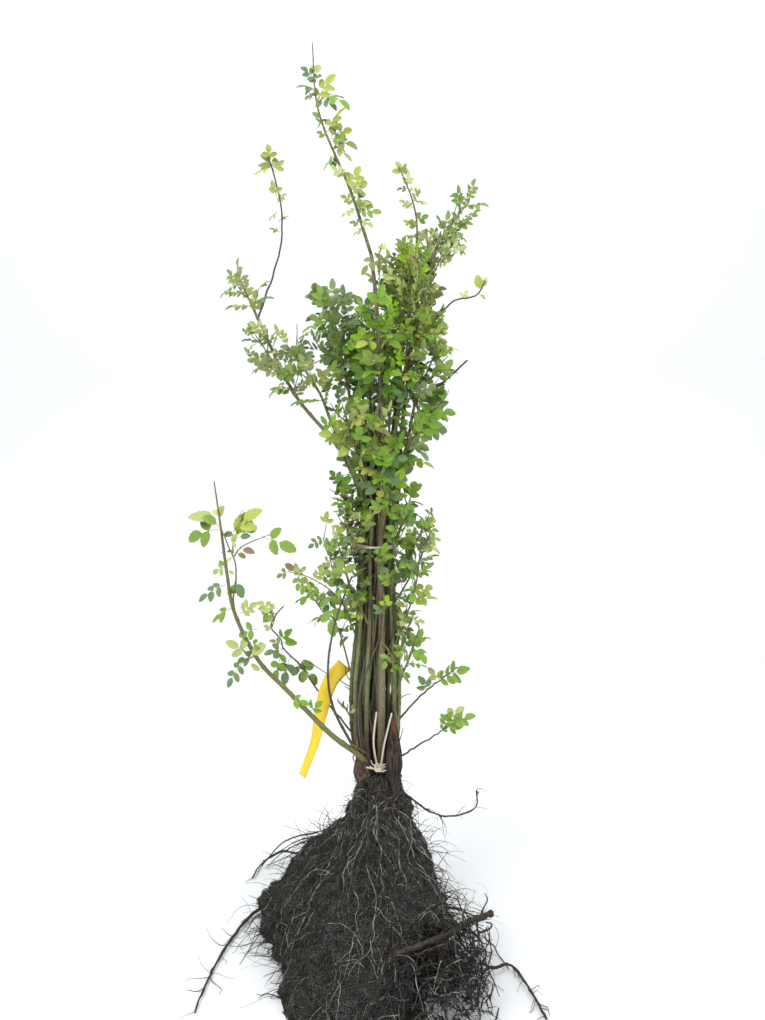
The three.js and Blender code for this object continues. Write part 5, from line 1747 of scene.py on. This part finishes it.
def label_mesh():
    """A grid carried along the label's route, turned and folded as it goes."""
    height, place, spread = LABEL["crease"]
    route = smooth_route(LABEL["path"], LABEL["steps"] + 1)
    forwards = unit(np.gradient(route, axis=0))
    bm = bmesh.new()
    bmesh.ops.create_grid(bm, x_segments=LABEL["steps"], y_segments=LABEL["across"], size=0.5)
    for vertex in bm.verts:
        along = vertex.co.x + 0.5
        step = round(along * LABEL["steps"])
        way = forwards[step]
        side = unit(np.cross([0, -1, 0], way))
        turn = from_to(LABEL["turn"], along)
        side = side * math.cos(turn) + np.cross(way, side) * math.sin(turn)
        out = np.cross(way, side)
        crease = height * math.exp(-((along - place) / spread) ** 2)
        wave = LABEL["wave"] * math.sin(along * 9 + vertex.co.y * 2)
        belly = wave + crease - LABEL["cup"] * vertex.co.y ** 2
        vertex.co = Vector(route[step] + side * vertex.co.y * from_to(LABEL["width"], along) + out * belly) * MM
    bmesh.ops.recalc_face_normals(bm, faces=bm.faces)
    bmesh.ops.solidify(bm, geom=bm.faces[:], thickness=LABEL["thick"] * MM)
    bmesh.ops.recalc_face_normals(bm, faces=bm.faces)
    return mesh_of(bm, "label_strip")


add_piece("label_strip", label_mesh(), [film.material], "label", ["label_strip"])

# %% [markdown]
# ## Floor and light
# A pale sheet curves up behind the bush, so floor and wall meet with no line. It could be a plane with a bevel, but
# an edge carried back, round and up by operators shows how its profile comes about.

# %% Floor
SWEEP = {"front": -6000, "back": 900, "bend": 700, "height": 3000, "half_width": 6000}


def sweep_mesh():
    """The floor's front edge, carried back, round a quarter turn and up the wall."""
    bm = bmesh.new()
    ends = [bm.verts.new((side * SWEEP["half_width"] * MM, SWEEP["front"] * MM, 0)) for side in (-1, 1)]
    edge = bm.edges.new(ends)

    def carried(geometry, move):
        made = bmesh.ops.extrude_edge_only(bm, edges=geometry)["geom"]
        bmesh.ops.translate(bm, verts=[g for g in made if isinstance(g, bmesh.types.BMVert)], vec=move)
        return [g for g in made if isinstance(g, bmesh.types.BMEdge)]

    line = carried([edge], Vector((0, SWEEP["back"] - SWEEP["front"], 0)) * MM)
    bmesh.ops.spin(
        bm, geom=line + [v for e in line for v in e.verts], cent=Vector((0, SWEEP["back"], SWEEP["bend"])) * MM,
        axis=(1, 0, 0), angle=math.pi / 2, steps=24, use_merge=False)
    top = [e for e in bm.edges if all(v.co.y > (SWEEP["back"] + SWEEP["bend"] - 1) * MM for v in e.verts)]
    carried(top, Vector((0, 0, SWEEP["height"])) * MM)
    bmesh.ops.recalc_face_normals(bm, faces=bm.faces)
    return mesh_of(bm, "floor")


pale_floor = Finish("pale_floor", base_color=(0.72, 0.735, 0.74, 1), roughness=0.8)
floor_mesh = sweep_mesh()
floor_mesh.materials.append(pale_floor.material)
floor_mesh.polygons.foreach_set("use_smooth", [True] * len(floor_mesh.polygons))
floor = bpy.data.objects.new("floor", floor_mesh)
bpy.context.scene.collection.objects.link(floor)
print("floor faces:", len(floor_mesh.polygons))

# %% [markdown]
# ## Light
# Large area lights on both sides and a bright sky leave soft shadows only. A sun would draw hard ones, which hide
# the leaves deep in the crown.

# %% Light
LIGHTS = [  # place, width, power in watts
    ("key_light", (-1500, -1700, 2200), 1800, 46),
    ("fill_light", (1700, -1500, 1500), 1800, 26),
    ("top_light", (0, 200, 2700), 2200, 30),
]
AIM = (0, 0, 450)
SKY = {"Color": (0.95, 0.97, 1.0, 1), "Strength": 0.8}
for name, place, size, power in LIGHTS:
    light = bpy.data.objects.new(name, bpy.data.lights.new(name, "AREA"))
    light.data.energy = power
    light.data.size = size * MM
    light.location = Vector(place) * MM
    light.rotation_euler = (Vector(AIM) * MM - light.location).to_track_quat("-Z", "Y").to_euler()
    bpy.context.scene.collection.objects.link(light)

world = bpy.data.worlds.new("sky")
world.use_nodes = True
for key, value in SKY.items():
    world.node_tree.nodes["Background"].inputs[key].default_value = value
bpy.context.scene.world = world
bpy.context.scene.view_settings.view_transform = "Standard"
print("lights:", len(LIGHTS))
